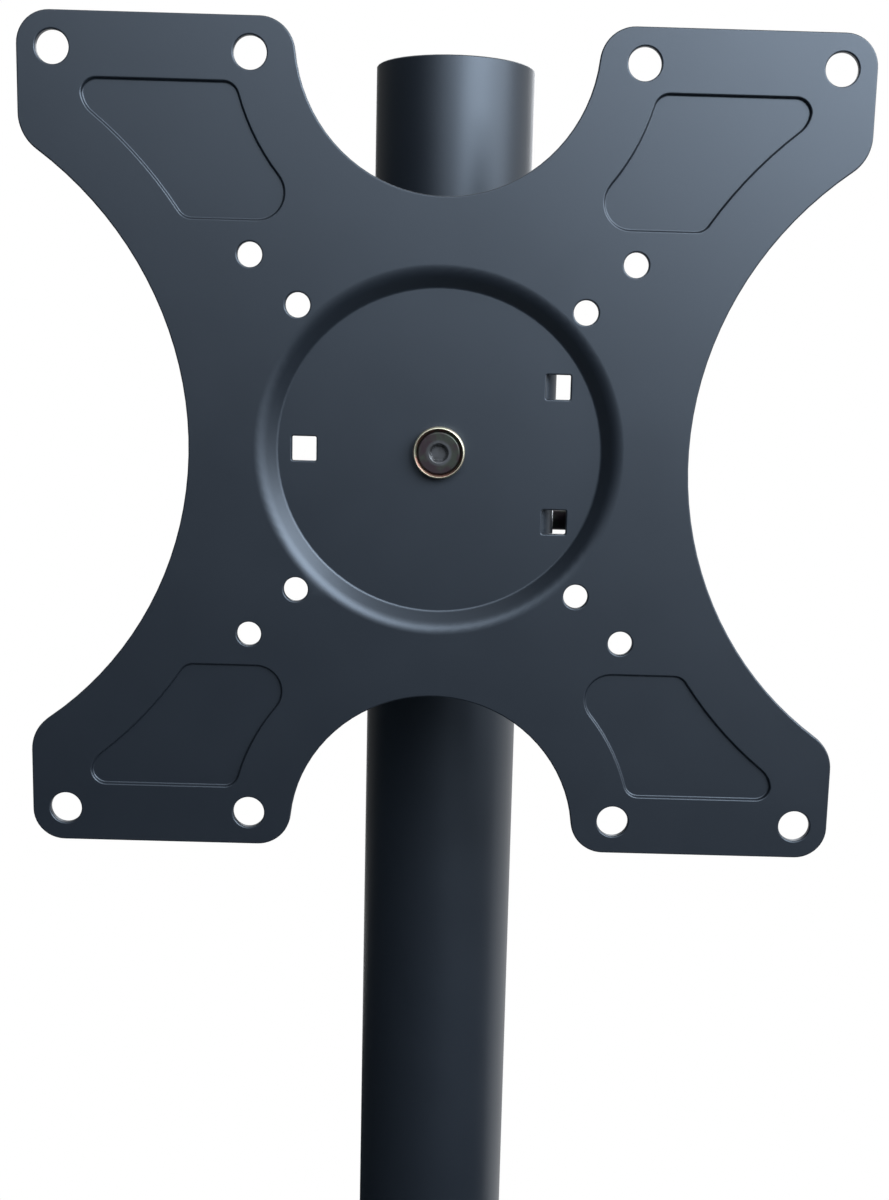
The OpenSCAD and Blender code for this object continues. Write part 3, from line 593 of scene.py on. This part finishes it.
class Way(Enum):
    """The way that a piece points, as the direction in which its own +Z goes."""

    RIGHT = (1.0, 0.0, 0.0)
    LEFT = (-1.0, 0.0, 0.0)
    BACK = (0.0, 1.0, 0.0)
    FRONT = (0.0, -1.0, 0.0)

    def stand(self, place: Vector) -> Matrix:
        """Stands a piece that is drawn upwards from the origin in its place.

        Args:
            place: Where its foot goes.

        Returns:
            The matrix that takes it there.
        """
        turn = Vector((0.0, 0.0, 1.0)).rotation_difference(Vector(self.value))
        return Matrix.Translation(place) @ turn.to_matrix().to_4x4()


def profile_of(
    bm: bmesh.types.BMesh, points: Iterable[tuple[float, float]]
) -> list[bmesh.types.BMVert | bmesh.types.BMEdge]:
    """Draws an open line of points, each given by its radius and its height.

    Args:
        bm: The mesh that gets the line.
        points: The points in order.

    Returns:
        The line's vertices and edges.
    """
    verts = [bm.verts.new((r, 0.0, z)) for r, z in points]
    return verts + [bm.edges.new(pair) for pair in zip(verts, verts[1:])]


def turned(points: Iterable[tuple[float, float]], steps: int) -> bmesh.types.BMesh:
    """Turns a line of points about the Z axis into a closed shape.

    Args:
        points: Radius and height of each point. The line starts and ends on the axis, or at its
            own first point.
        steps: The number of steps round.

    Returns:
        The shape, with its faces outwards.
    """
    bm = bmesh.new()
    bmesh.ops.spin(
        bm,
        geom=profile_of(bm, points),
        cent=(0.0, 0.0, 0.0),
        axis=(0.0, 0.0, 1.0),
        angle=math.tau,
        steps=steps,
        use_merge=True,
        use_duplicate=False,
    )
    bmesh.ops.remove_doubles(bm, verts=bm.verts, dist=FINE_MERGE)
    bmesh.ops.recalc_face_normals(bm, faces=bm.faces)
    return bm


def trim(bm: bmesh.types.BMesh, place: Vector, way: Vector) -> None:
    """Cuts away what lies past a plane and leaves the cut open.

    Args:
        bm: The mesh.
        place: A point of the plane.
        way: The side of it that goes.
    """
    bmesh.ops.bisect_plane(
        bm,
        geom=[*bm.verts, *bm.edges, *bm.faces],
        plane_co=place,
        plane_no=way,
        clear_outer=True,
    )


def close_ends(bm: bmesh.types.BMesh) -> None:
    """Fills the open loops of a mesh.

    Args:
        bm: The mesh.
    """
    open_edges = [edge for edge in bm.edges if edge.is_boundary]
    bmesh.ops.holes_fill(bm, edges=open_edges, sides=0)


def soften(bm: bmesh.types.BMesh, radius: float, segments: int, crease: float) -> None:
    """Rounds every edge that turns more sharply than the crease.

    Args:
        bm: The mesh.
        radius: How far the rounding reaches from the edge.
        segments: The number of steps over the rounding.
        crease: The least angle in degrees between the faces of an edge that is rounded.
    """
    sharp = [
        edge
        for edge in bm.edges
        if edge.is_manifold
        and edge.calc_face_angle() > math.radians(crease)
        and all(face.calc_area() > radius * edge.calc_length() for face in edge.link_faces)
    ]
    bmesh.ops.bevel(
        bm,
        geom=sharp,
        offset=radius,
        offset_type="OFFSET",
        affect="EDGES",
        segments=segments,
        profile=0.5,
        material=-1,
        clamp_overlap=False,
    )


@dataclass
class SoftEdged:
    """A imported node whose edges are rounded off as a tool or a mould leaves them."""

    node: str
    body: Body
    slot: Slot
    radius: float
    segments: int = 2
    crease: float = 28.0
    flat: float = 0.3

    def shape(self) -> bmesh.types.BMesh:
        """Copies the node, merges its triangles and rounds its edges.

        Returns:
            The rounded mesh.
        """
        bm = bmesh.new()
        bm.from_mesh(frame["nodes"][self.node].data)
        bmesh.ops.remove_doubles(bm, verts=bm.verts, dist=MERGE)
        bmesh.ops.dissolve_limit(
            bm, angle_limit=math.radians(self.flat), verts=bm.verts, edges=bm.edges
        )
        soften(bm, self.radius, self.segments, self.crease)
        return bm

    def build(self, wardrobe: Wardrobe) -> bpy.types.Object:
        """Makes the piece that stands for the node.

        Args:
            wardrobe: The part's materials.

        Returns:
            The new object.
        """
        piece = wardrobe.dress(
            self.node + "_soft", self.shape(), self.body, self.slot, [self.node]
        )
        even_shading(piece)
        return piece


@dataclass
class Thread:
    """A screw thread, drawn upwards from the origin."""

    radius: float
    pitch: float
    length: float
    tip_chamfer: float = 0.8 * MM
    depth_share: float = 0.6
    crest_share: float = 0.125
    root_share: float = 0.25
    steps: int = 32

    def shape(self) -> bmesh.types.BMesh:
        """Winds one turn of the thread's section up its axis and trims both ends.

        Returns:
            The thread with its core.
        """
        core = self.radius - self.depth_share * self.pitch
        flank = (1.0 - self.crest_share - self.root_share) / 2
        shares = (0.0, self.root_share, self.root_share + flank, 1.0 - flank, 1.0)
        radii = (core, core, self.radius, self.radius, core)
        turns = math.ceil(self.length / self.pitch) + 2
        bm = bmesh.new()
        bmesh.ops.spin(
            bm,
            geom=profile_of(
                bm, [(r, (share - 1.0) * self.pitch) for r, share in zip(radii, shares)]
            ),
            cent=(0.0, 0.0, 0.0),
            axis=(0.0, 0.0, 1.0),
            dvec=(0.0, 0.0, self.pitch / self.steps),
            angle=math.tau * turns,
            steps=self.steps * turns,
            use_duplicate=False,
        )
        bmesh.ops.remove_doubles(bm, verts=bm.verts, dist=MERGE)
        bmesh.ops.recalc_face_normals(bm, faces=bm.faces)
        for height, way in ((0.0, -1.0), (self.length, 1.0)):
            trim(bm, Vector((0.0, 0.0, height)), Vector((0.0, 0.0, way)))
        for vert in bm.verts:
            reach = vert.co.xy.length
            most = self.radius - self.tip_chamfer + (self.length - vert.co.z)
            if reach > most:
                vert.co.xy *= most / reach
        close_ends(bm)
        bmesh.ops.recalc_face_normals(bm, faces=bm.faces)
        return bm


@dataclass(kw_only=True)
class Screw(SoftEdged):
    """A packed screw or stud whose plain shank gets its thread."""

    way: Way
    thread_from: float
    thread: Thread

    def shape(self) -> bmesh.types.BMesh:
        """Cuts the plain shank off where the thread starts and puts the thread there.

        Returns:
            The screw.
        """
        bm = super().shape()
        middle = middle_of(self.node)
        aim = Vector(self.way.value)
        start = middle + aim * (self.thread_from - middle.dot(aim))
        trim(bm, start, aim)
        close_ends(bm)
        thread = self.thread.shape()
        bmesh.ops.transform(thread, matrix=self.way.stand(start), verts=thread.verts)
        wound = mesh_of("thread", thread)
        bm.from_mesh(wound)
        bpy.data.meshes.remove(wound)
        return bm


@dataclass
class InsertRing:
    """The plastic ring that shows in the end of a lock nut."""

    name: str
    body: Body
    way: Way
    place: Vector
    bore_r: float = 4.0 * MM
    rim_r: float = 5.3 * MM
    length: float = 2.0 * MM
    edge: float = 0.25 * MM
    steps: int = 48

    def build(self, wardrobe: Wardrobe) -> bpy.types.Object:
        """Turns the ring and puts it in its nut.

        Args:
            wardrobe: The part's materials.

        Returns:
            The new object.
        """
        bm = turned(
            [
                (self.bore_r, 0.0),
                (self.rim_r, 0.0),
                (self.rim_r, self.length - self.edge),
                (self.rim_r - self.edge, self.length),
                (self.bore_r + self.edge, self.length),
                (self.bore_r, self.length - self.edge),
                (self.bore_r, 0.0),
            ],
            self.steps,
        )
        bmesh.ops.transform(bm, matrix=self.way.stand(self.place), verts=bm.verts)
        piece = wardrobe.dress(self.name, bm, self.body, Slot.NYLON)
        even_shading(piece)
        return piece


@dataclass
class LobedGrip:
    """A moulded knob: a lobed grip with soft shoulders on a round neck."""

    node: str
    body: Body
    way: Way
    diameter: float
    length: float
    neck_r: float = 8 * MM
    neck_l: float = 6 * MM
    lobes: int = 5
    hollow_share: float = 0.22
    depth_share: float = 0.09
    blend_share: float = 0.014
    shoulder: float = 2.8 * MM
    shoulder_steps: int = 7
    fillet: float = 1.4 * MM
    lip: float = 0.6 * MM
    dimple_share: float = 0.3
    dimple: float = 0.5 * MM
    steps: int = 240

    def outline(self, turn: float) -> float:
        """Finds how far the grip reaches at an angle.

        Args:
            turn: The angle from the middle of a hollow, in radians.

        Returns:
            The distance of the outline from the axis.
        """
        rim = self.diameter / 2
        hollow_r = self.diameter * self.hollow_share
        hollow_x = rim + hollow_r - self.diameter * self.depth_share
        blend = self.diameter * self.blend_share
        pitch = math.tau / self.lobes
        off = (turn + pitch / 2) % pitch - pitch / 2
        side = hollow_x * math.sin(off)
        if abs(side) >= hollow_r:
            return rim
        hollow = hollow_x * math.cos(off) - math.sqrt(hollow_r**2 - side**2)
        return -blend * math.log(math.exp(-rim / blend) + math.exp(-hollow / blend))

    def levels(self) -> list[tuple[float, float, bool]]:
        """Lists the rings of the knob from the end of its neck to the middle of its face.

        Returns:
            For each ring its height over the grip's underside, its radius or how far it lies
            inside the outline, and whether it follows the outline.
        """
        neck_r, fillet, lip = self.neck_r, self.fillet, self.lip
        face_r = self.diameter * self.dimple_share
        rings = [
            (-self.neck_l, neck_r - lip, False),
            (lip / 3 - self.neck_l, neck_r - lip / 3, False),
            (lip - self.neck_l, neck_r, False),
            (-fillet, neck_r, False),
            (-fillet / 3, neck_r + fillet / 3, False),
            (0.0, neck_r + fillet, False),
        ]
        quarter = [math.pi / 2 * i / self.shoulder_steps for i in range(self.shoulder_steps + 1)]
        for angle in quarter:
            inside = self.shoulder * (1.0 - math.sin(angle))
            rings.append((self.shoulder * (1.0 - math.cos(angle)), inside, True))
        for angle in reversed(quarter):
            inside = self.shoulder * (1.0 - math.sin(angle))
            rings.append((self.length - self.shoulder * (1.0 - math.cos(angle)), inside, True))
        rings += [
            (self.length, face_r, False),
            (self.length - self.dimple / 4, face_r - self.dimple, False),
            (self.length - self.dimple, face_r - 2 * self.dimple, False),
            (self.length - self.dimple, face_r / 2, False),
        ]
        return rings

    def build(self, wardrobe: Wardrobe) -> bpy.types.Object:
        """Grows the knob that stands for the node, ring by ring.

        Args:
            wardrobe: The part's materials.

        Returns:
            The new object.
        """
        bm = bmesh.new()
        bmesh.ops.create_circle(bm, cap_ends=True, segments=self.steps, radius=1.0)
        ring, rim = list(bm.verts), list(bm.edges)
        for i, (height, size, lobed) in enumerate(self.levels()):
            if i:
                grown = bmesh.ops.extrude_edge_only(bm, edges=rim)["geom"]
                ring = [g for g in grown if isinstance(g, bmesh.types.BMVert)]
                rim = [g for g in grown if isinstance(g, bmesh.types.BMEdge) and g.is_boundary]
            for vert in ring:
                turn = math.atan2(vert.co.y, vert.co.x)
                reach = self.outline(turn) - size if lobed else size
                vert.co = (reach * math.cos(turn), reach * math.sin(turn), height)
        close_ends(bm)
        bmesh.ops.recalc_face_normals(bm, faces=bm.faces)
        low, high = box_of(self.node)
        aim = Vector(self.way.value)
        half = abs((high - low).dot(aim)) / 2
        foot = middle_of(self.node) + aim * (self.neck_l - half)
        bmesh.ops.transform(bm, matrix=self.way.stand(foot), verts=bm.verts)
        return wardrobe.dress(
            self.node + "_moulded", bm, self.body, Slot.BLACK_PLASTIC, [self.node]
        )


@dataclass
class WeldBead:
    """A row of weld ripples along a line, under the powder coat."""

    name: str
    body: Body
    path: list[Vector]
    closed: bool = False
    radius: float = 1.7 * MM
    ripple: float = 1.6 * MM
    ripple_share: float = 0.16
    end_share: float = 0.6
    spacing: float = 0.4 * MM
    sides: int = 10

    def stations(self) -> list[tuple[Vector, Vector, float]]:
        """Steps evenly along the line.

        Returns:
            The place, the direction and the radius at each step.
        """
        ends = self.path + self.path[:1] if self.closed else self.path
        lengths = [(b - a).length for a, b in zip(ends, ends[1:])]
        total = sum(lengths)
        count = round(total / self.spacing)
        ripples = max(1, round(total / self.ripple))
        found = []
        for i in range(count if self.closed else count + 1):
            run = total * i / count
            k = 0
            while k < len(lengths) - 1 and run > lengths[k]:
                run -= lengths[k]
                k += 1
            along = (ends[k + 1] - ends[k]).normalized()
            wave = abs(math.sin(math.pi * ripples * i / count))
            size = self.radius * (1.0 - self.ripple_share * (1.0 - wave))
            found.append((ends[k] + along * run, along, size))
        return found

    def build(self, wardrobe: Wardrobe) -> bpy.types.Object:
        """Joins a ring at each step into one bead.

        Args:
            wardrobe: The part's materials.

        Returns:
            The new object.
        """
        bm = bmesh.new()
        stations = self.stations()
        rings = []
        for i, (place, along, size) in enumerate(stations):
            turn = along.to_track_quat("Z", "X").to_matrix().to_4x4()
            end = not self.closed and i in (0, len(stations) - 1)
            ring = bmesh.ops.create_circle(
                bm,
                cap_ends=end,
                segments=self.sides,
                radius=size * (self.end_share if end else 1.0),
                matrix=Matrix.Translation(place) @ turn,
            )
            verts = set(ring["verts"])
            rings.append([e for e in bm.edges if e.verts[0] in verts and e.verts[1] in verts])
        pairs = list(zip(rings, rings[1:])) + ([(rings[-1], rings[0])] if self.closed else [])
        for first, second in pairs:
            bmesh.ops.bridge_loops(bm, edges=first + second)
        bmesh.ops.recalc_face_normals(bm, faces=bm.faces)
        return wardrobe.dress(self.name, bm, self.body, Slot.POWDER_COAT)


@dataclass
class Stand:
    """The base, the pole and what holds them together."""

    base_edge: float = 0.6 * MM
    cover_edge: float = 0.5 * MM
    foot_edge: float = 0.35 * MM
    cap_edge: float = 0.25 * MM

    def pieces(self) -> list[Piece]:
        """Lists the stand's pieces.

        Returns:
            The pieces in the order in which they are made.
        """
        body = Body.STAND
        return [
            SoftEdged("base_plate", body, Slot.POWDER_COAT, self.base_edge, segments=3),
            SoftEdged("foot_cover", body, Slot.BLACK_PLASTIC, self.cover_edge, segments=3),
            SoftEdged("base_feet", body, Slot.RUBBER, self.foot_edge),
            SoftEdged("pole_cap", body, Slot.BLACK_PLASTIC, self.cap_edge),
        ]


@dataclass
class Carriage:
    """The stop collar that the swivel sleeve rests on."""

    collar_edge: float = 0.7 * MM
    screw_edge: float = 0.2 * MM
    ring_edge: float = 0.25 * MM
    screw_r: float = 3 * MM
    screw_pitch: float = 1 * MM
    plain_l: float = 7 * MM

    def pieces(self) -> list[Piece]:
        """Lists the carriage's pieces.

        Returns:
            The pieces in the order in which they are made.
        """
        body = Body.CARRIAGE
        low, high = box_of("collar_screw")
        start = low.x + self.plain_l
        thread = Thread(self.screw_r, self.screw_pitch, high.x - start)
        return [
            SoftEdged("stop_collar", body, Slot.POWDER_COAT, self.collar_edge, segments=3),
            Screw(
                "collar_screw", body, Slot.ZINC, self.screw_edge,
                way=Way.RIGHT, thread_from=start, thread=thread,
            ),
            SoftEdged("collar_nut", body, Slot.ZINC, self.screw_edge),
            SoftEdged("thrust_ring", body, Slot.BLACK_PLASTIC, self.ring_edge),
        ]


@dataclass
class Swivel:
    """The sleeve on the pole with its welded ears and boss."""

    sleeve_edge: float = 0.5 * MM
    liner_edge: float = 0.3 * MM
    small_edge: float = 0.2 * MM
    ear_x: tuple[float, float] = (22.7 * MM, 26.7 * MM)
    ear_below: float = 34.5 * MM
    ear_above: float = 12 * MM
    weld_inset: float = 3 * MM
    boss_r: float = 11 * MM
    boss_steps: int = 72

    def ear_bead(self, name: str, x: float, sleeve_r: float) -> WeldBead:
        """Runs a bead down the line where an ear's face meets the sleeve.

        Args:
            name: The bead's name.
            x: Where the ear's face is.
            sleeve_r: The outside radius of the sleeve.

        Returns:
            The bead.
        """
        middle = middle_of("pivot_bolt").z
        low = middle - self.ear_below + self.weld_inset
        high = middle + self.ear_above - self.weld_inset
        y = -math.sqrt(sleeve_r**2 - x**2)
        return WeldBead(name, Body.SWIVEL, [Vector((x, y, low)), Vector((x, y, high))])

    def boss_bead(self, sleeve_r: float) -> WeldBead:
        """Runs a bead round the line where the boss meets the sleeve.

        Args:
            sleeve_r: The outside radius of the sleeve.

        Returns:
            The bead.
        """
        height = middle_of("sleeve_stud").z
        path = []
        for i in range(self.boss_steps):
            turn = math.tau * i / self.boss_steps
            x = self.boss_r * math.cos(turn)
            y = math.sqrt(sleeve_r**2 - x**2)
            path.append(Vector((x, y, height + self.boss_r * math.sin(turn))))
        return WeldBead("boss_weld", Body.SWIVEL, path, closed=True)

    def pieces(self) -> list[Piece]:
        """Lists the sleeve's pieces.

        Returns:
            The pieces in the order in which they are made.
        """
        body = Body.SWIVEL
        low, high = box_of("swivel_sleeve")
        sleeve_r = (high.x - low.x) / 2
        beads = [
            self.ear_bead(f"ear_weld_{side}_{face}", sign * x, sleeve_r)
            for side, sign in (("left", -1.0), ("right", 1.0))
            for face, x in zip(("inner", "outer"), self.ear_x)
        ]
        return [
            SoftEdged("swivel_sleeve", body, Slot.POWDER_COAT, self.sleeve_edge, segments=3),
            *beads,
            self.boss_bead(sleeve_r),
            SoftEdged("upper_liner", body, Slot.BLACK_PLASTIC, self.liner_edge),
            SoftEdged("lower_liner", body, Slot.BLACK_PLASTIC, self.liner_edge),
            SoftEdged("pivot_spacer", body, Slot.ZINC, self.small_edge),
            SoftEdged("lock_nut", body, Slot.ZINC, self.small_edge),
        ]


@dataclass
class Knobs:
    """The two lobed knobs, their studs and what the studs press on."""

    sleeve_knob: tuple[float, float] = (46 * MM, 24 * MM)
    sleeve_thread: tuple[float, float] = (4 * MM, 1.25 * MM)
    sleeve_plain: float = 25 * MM
    tilt_knob: tuple[float, float] = (36 * MM, 20 * MM)
    tilt_thread: tuple[float, float] = (2.5 * MM, 0.8 * MM)
    tilt_from: float = 32.8 * MM
    stud_edge: float = 0.15 * MM
    pad_edge: float = 0.4 * MM
    washer_edge: float = 0.2 * MM

    def pieces(self) -> list[Piece]:
        """Lists the knobs' pieces.

        Returns:
            The pieces in the order in which they are made.
        """
        stud_low, stud_high = box_of("sleeve_stud")
        sleeve_from = stud_high.y - self.sleeve_plain
        sleeve_thread = Thread(*self.sleeve_thread, sleeve_from - stud_low.y)
        tilt_low, _ = box_of("tilt_stud")
        tilt_thread = Thread(*self.tilt_thread, self.tilt_from - tilt_low.x)
        return [
            LobedGrip("sleeve_knob", Body.CLAMP_KNOB, Way.BACK, *self.sleeve_knob),
            Screw(
                "sleeve_stud", Body.CLAMP_KNOB, Slot.ZINC, self.stud_edge,
                way=Way.FRONT, thread_from=-sleeve_from, thread=sleeve_thread,
            ),
            SoftEdged("pressure_pad", Body.CLAMP_PAD, Slot.NYLON, self.pad_edge),
            LobedGrip("tilt_knob", Body.LOCK_KNOB, Way.RIGHT, *self.tilt_knob),
            Screw(
                "tilt_stud", Body.LOCK_KNOB, Slot.BLACK_STEEL, self.stud_edge,
                way=Way.LEFT, thread_from=-self.tilt_from, thread=tilt_thread,
            ),
            SoftEdged("tilt_knob_washer", Body.LOCK_WASHER, Slot.ZINC, self.washer_edge),
        ]


@dataclass
class TiltHead:
    """The bent bracket, its pivot and the bolt that carries the plate."""

    bracket_edge: float = 0.45 * MM
    nut_edge: float = 0.25 * MM
    washer_edge: float = 0.2 * MM
    disc_edge: float = 0.15 * MM
    bush_edge: float = 0.12 * MM
    fine_edge: float = 0.1 * MM
    insert_out: float = 0.1 * MM
    thread: tuple[float, float] = (4 * MM, 1.25 * MM)
    pivot_l: float = 24 * MM
    plate_l: float = 13 * MM

    def insert(self, name: str, nut: str, way: Way) -> InsertRing:
        """Puts the plastic ring in a lock nut.

        Args:
            name: The ring's name.
            nut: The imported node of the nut.
            way: The way that its ring faces.

        Returns:
            The ring.
        """
        low, high = box_of(nut)
        middle = middle_of(nut)
        aim = Vector(way.value)
        half = abs((high - low).dot(aim)) / 2
        ring = InsertRing(name, Body.TILT_HEAD, way, middle)
        ring.place = middle + aim * (half + self.insert_out - ring.length)
        return ring

    def pieces(self) -> list[Piece]:
        """Lists the head's pieces.

        Returns:
            The pieces in the order in which they are made.
        """
        body = Body.TILT_HEAD
        pivot_from = box_of("pivot_bolt")[1].x - self.pivot_l
        plate_from = box_of("plate_bolt")[1].y - self.plate_l
        return [
            SoftEdged("tilt_bracket", body, Slot.POWDER_COAT, self.bracket_edge, segments=3),
            Screw(
                "pivot_bolt", body, Slot.ZINC, self.nut_edge, way=Way.RIGHT,
                thread_from=pivot_from, thread=Thread(*self.thread, self.pivot_l),
            ),
            SoftEdged("pivot_washer", body, Slot.ZINC, self.washer_edge),
            SoftEdged("pivot_nut", body, Slot.ZINC, self.nut_edge),
            self.insert("pivot_nut_ring", "pivot_nut", Way.RIGHT),
            SoftEdged("tilt_friction_washers", body, Slot.NYLON, self.disc_edge),
            SoftEdged("centre_bush", body, Slot.YELLOW_ZINC, self.bush_edge),
            Screw(
                "plate_bolt", body, Slot.BLACK_STEEL, self.fine_edge, way=Way.BACK,
                thread_from=plate_from, thread=Thread(*self.thread, self.plate_l),
            ),
            SoftEdged("plate_washer", body, Slot.ZINC, self.washer_edge),
            SoftEdged("spring_washers", body, Slot.ZINC, self.fine_edge),
            SoftEdged("plate_nut", body, Slot.ZINC, self.nut_edge),
            self.insert("plate_nut_ring", "plate_nut", Way.BACK),
        ]


@dataclass
class ScreenPlate:
    """The pressed plate that a screen is screwed to."""

    edge: float = 0.42 * MM
    disc_edge: float = 0.2 * MM

    def pieces(self) -> list[Piece]:
        """Lists the plate's pieces.

        Returns:
            The pieces in the order in which they are made.
        """
        body = Body.SCREEN_PLATE
        return [
            SoftEdged("vesa_plate", body, Slot.POWDER_COAT, self.edge, segments=3),
            SoftEdged("friction_disc", body, Slot.NYLON, self.disc_edge),
        ]


@dataclass(frozen=True)
class Softbox:
    """A rectangular lamp that faces the stand's head."""

    name: str
    place: Place
    size: tuple[float, float]
    watts: float
    colour: Colour = (0.945, 0.972, 1.0)

    def hang(self) -> None:
        """Adds the lamp to the scene."""
        data = bpy.data.lights.new(self.name, "AREA")
        data.shape = "RECTANGLE"
        data.size, data.size_y = self.size
        data.energy = self.watts
        data.color = self.colour
        lamp = placed(self.name, data)
        lamp.location = self.place
        aim = Vector(AIM) - Vector(self.place)
        lamp.rotation_euler = aim.to_track_quat("-Z", "Y").to_euler()


@dataclass(frozen=True)
class Card:
    """A card, mostly a dark one, that shows in the gloss of the part and nowhere else."""

    name: str
    place: Place
    size: tuple[float, float]
    aim: Place = AIM
    colour: Colour = (0.010, 0.018, 0.026)

    def stand(self) -> None:
        """Adds the card to the scene."""
        bm = bmesh.new()
        bmesh.ops.create_grid(bm, x_segments=1, y_segments=1, size=0.5)
        bmesh.ops.scale(bm, vec=(*self.size, 1.0), verts=bm.verts)
        aim = Vector(self.aim) - Vector(self.place)
        turn = aim.to_track_quat("Z", "Y").to_matrix().to_4x4()
        bmesh.ops.transform(bm, matrix=Matrix.Translation(self.place) @ turn, verts=bm.verts)
        card = placed(self.name, mesh_of(self.name, bm))
        for ray in ("camera", "diffuse", "transmission", "volume_scatter", "shadow"):
            setattr(card, "visible_" + ray, False)
        shader = Shader(self.name)
        shade = (*self.colour, 1.0)
        paint = shader.node("ShaderNodeEmission", None, {"Color": shade, "Strength": 1.0})
        shader.tree.links.new(paint.outputs[0], shader.output.inputs[0])
        card.data.materials.append(shader.material)


def floor_card(name: str, across: tuple[float, float], deep: tuple[float, float]) -> Card:
    """Plans a dark card that lies just over the floor.

    Args:
        name: The card's name.
        across: Where it starts and ends from left to right.
        deep: Where it starts and ends from front to back.

    Returns:
        The card.
    """
    x, y = sum(across) / 2, sum(deep) / 2
    size = (across[1] - across[0], deep[1] - deep[0])
    return Card(name, (x, y, CARD_LIFT), size, aim=(x, y, 1.0))


LAMPS: tuple[Softbox, ...] = (
    Softbox("key", (0.87, -1.47, 1.86), (1.2, 1.0), 51.0),
    Softbox("side", (1.45, -0.65, 1.9), (1.1, 1.1), 28.0),
    Softbox("fill", (-0.12, -1.75, 2.0), (0.9, 0.7), 10.5),
    Softbox("rim", (0.4, 1.6, 1.9), (1.2, 1.2), 12.0),
)

CARDS: tuple[Card, ...] = (
    Card("front_card", (-0.75, -1.9, 0.7), (2.8, 1.6)),
    Card("side_card", (-1.9, -0.3, 1.0), (3.2, 2.4)),
    Card("upper_left_card", (-1.9, -1.2, 2.6), (2.6, 1.7)),
    Card("back_card", (-1.5, 1.5, 1.1), (1.6, 2.2), colour=(0.16, 0.16, 0.155)),
    floor_card("front_floor_card", (-3.0, 4.2), (-5.0, -0.55)),
    floor_card("left_floor_card", (-3.0, -0.3), (-0.55, 1.6)),
    floor_card("right_floor_card", (0.3, 4.2), (-0.55, 0.35)),
    floor_card("under_card", (-0.3, 0.3), (-0.55, 0.9)),
)


@dataclass
class Studio:
    """A white room: a pale floor that runs out to white, soft lamps and the camera."""

    floor_radius: float = 9.0
    floor_steps: int = 96
    floor_colour: float = 0.8
    fade: tuple[float, float] = (0.42, 0.95)
    world_strength: float = 0.35
    camera_place: Place = (0.01083, -0.45697, 1.12933)
    camera_turn: tuple[float, float, float] = (81.2107, -1.5899, -0.0882)
    focal_px: float = 1385.0
    axis_px: tuple[float, float] = (485.0, 556.1)
    image_px: tuple[float, float] = (889.0, 1200.0)
    sensor: float = 36.0
    clip: tuple[float, float] = (0.01, 60.0)

    def camera(self) -> None:
        """Places the camera as the photograph has it."""
        data = bpy.data.cameras.new("camera")
        camera = placed("camera", data)
        width, height = self.image_px
        data.sensor_fit = "AUTO"
        data.sensor_width = self.sensor
        data.lens = self.focal_px / height * self.sensor
        data.shift_x = -(self.axis_px[0] - width / 2) / height
        data.shift_y = (self.axis_px[1] - height / 2) / height
        data.clip_start, data.clip_end = self.clip
        camera.location = self.camera_place
        camera.rotation_euler = [math.radians(a) for a in self.camera_turn]
        bpy.context.scene.camera = camera

    def seen_directly(self, nodes: Nodes) -> Value:
        """Tells rays that look at the background from rays that light the part.

        Args:
            nodes: The tree that asks.

        Returns:
            1 for a camera, mirror or glass ray, else 0.
        """
        path = nodes.node("ShaderNodeLightPath")
        seen = Value(nodes, path.outputs["Is Camera Ray"])
        for key in ("Is Glossy Ray", "Is Transmission Ray"):
            seen = seen + Value(nodes, path.outputs[key])
        return seen.ramp(0.0, 1.0)

    def floor(self) -> None:
        """Lays a pale floor that turns to plain white away from the part."""
        bm = bmesh.new()
        bmesh.ops.create_circle(
            bm, cap_ends=True, segments=self.floor_steps, radius=self.floor_radius
        )
        floor = placed("floor", mesh_of("floor", bm))
        shader = Shader("floor")
        away = shader.node("ShaderNodeVectorMath", {"operation": "LENGTH"}, {0: shader.place})
        far = Value(shader, away.outputs["Value"]).ramp(*self.fade)
        grey = (self.floor_colour,) * 3 + (1.0,)
        paint = shader.node("ShaderNodeBsdfDiffuse", None, {"Color": grey})
        white = shader.node("ShaderNodeEmission", None, {"Strength": 1.0})
        mixed = shader.node(
            "ShaderNodeMixShader",
            None,
            {0: far * self.seen_directly(shader), 1: paint.outputs[0], 2: white.outputs[0]},
        )
        shader.tree.links.new(mixed.outputs[0], shader.output.inputs[0])
        floor.data.materials.append(shader.material)

    def world(self) -> None:
        """Surrounds the part with white, and lights it with a softer grey."""
        world = bpy.data.worlds.new("room")
        bpy.context.scene.world = world
        nodes = Nodes(world)
        strength = self.seen_directly(nodes) * (1.0 - self.world_strength) + self.world_strength
        light = nodes.node("ShaderNodeBackground", None, {"Color": (1.0,) * 4, "Strength": strength})
        nodes.node("ShaderNodeOutputWorld", None, {0: light.outputs[0]})

    def build(self) -> None:
        """Sets up the room, the lamps and the camera."""
        bpy.context.scene.view_settings.view_transform = "Standard"
        self.world()
        self.floor()
        for lamp in LAMPS:
            lamp.hang()
        for card in CARDS:
            card.stand()
        self.camera()


def main() -> None:
    """Builds the room and every piece, and logs each one."""
    logging.basicConfig(level=logging.INFO, format="%(name)s: %(message)s")
    wardrobe = Wardrobe(FINISHES)
    wardrobe.dress_cad()
    Studio().build()
    for group in (Stand(), Carriage(), Swivel(), Knobs(), TiltHead(), ScreenPlate()):
        made = [piece.build(wardrobe) for piece in group.pieces()]
        LOG.info("%s: %d pieces", type(group).__name__, len(made))


if __name__ == "__main__":
    main()
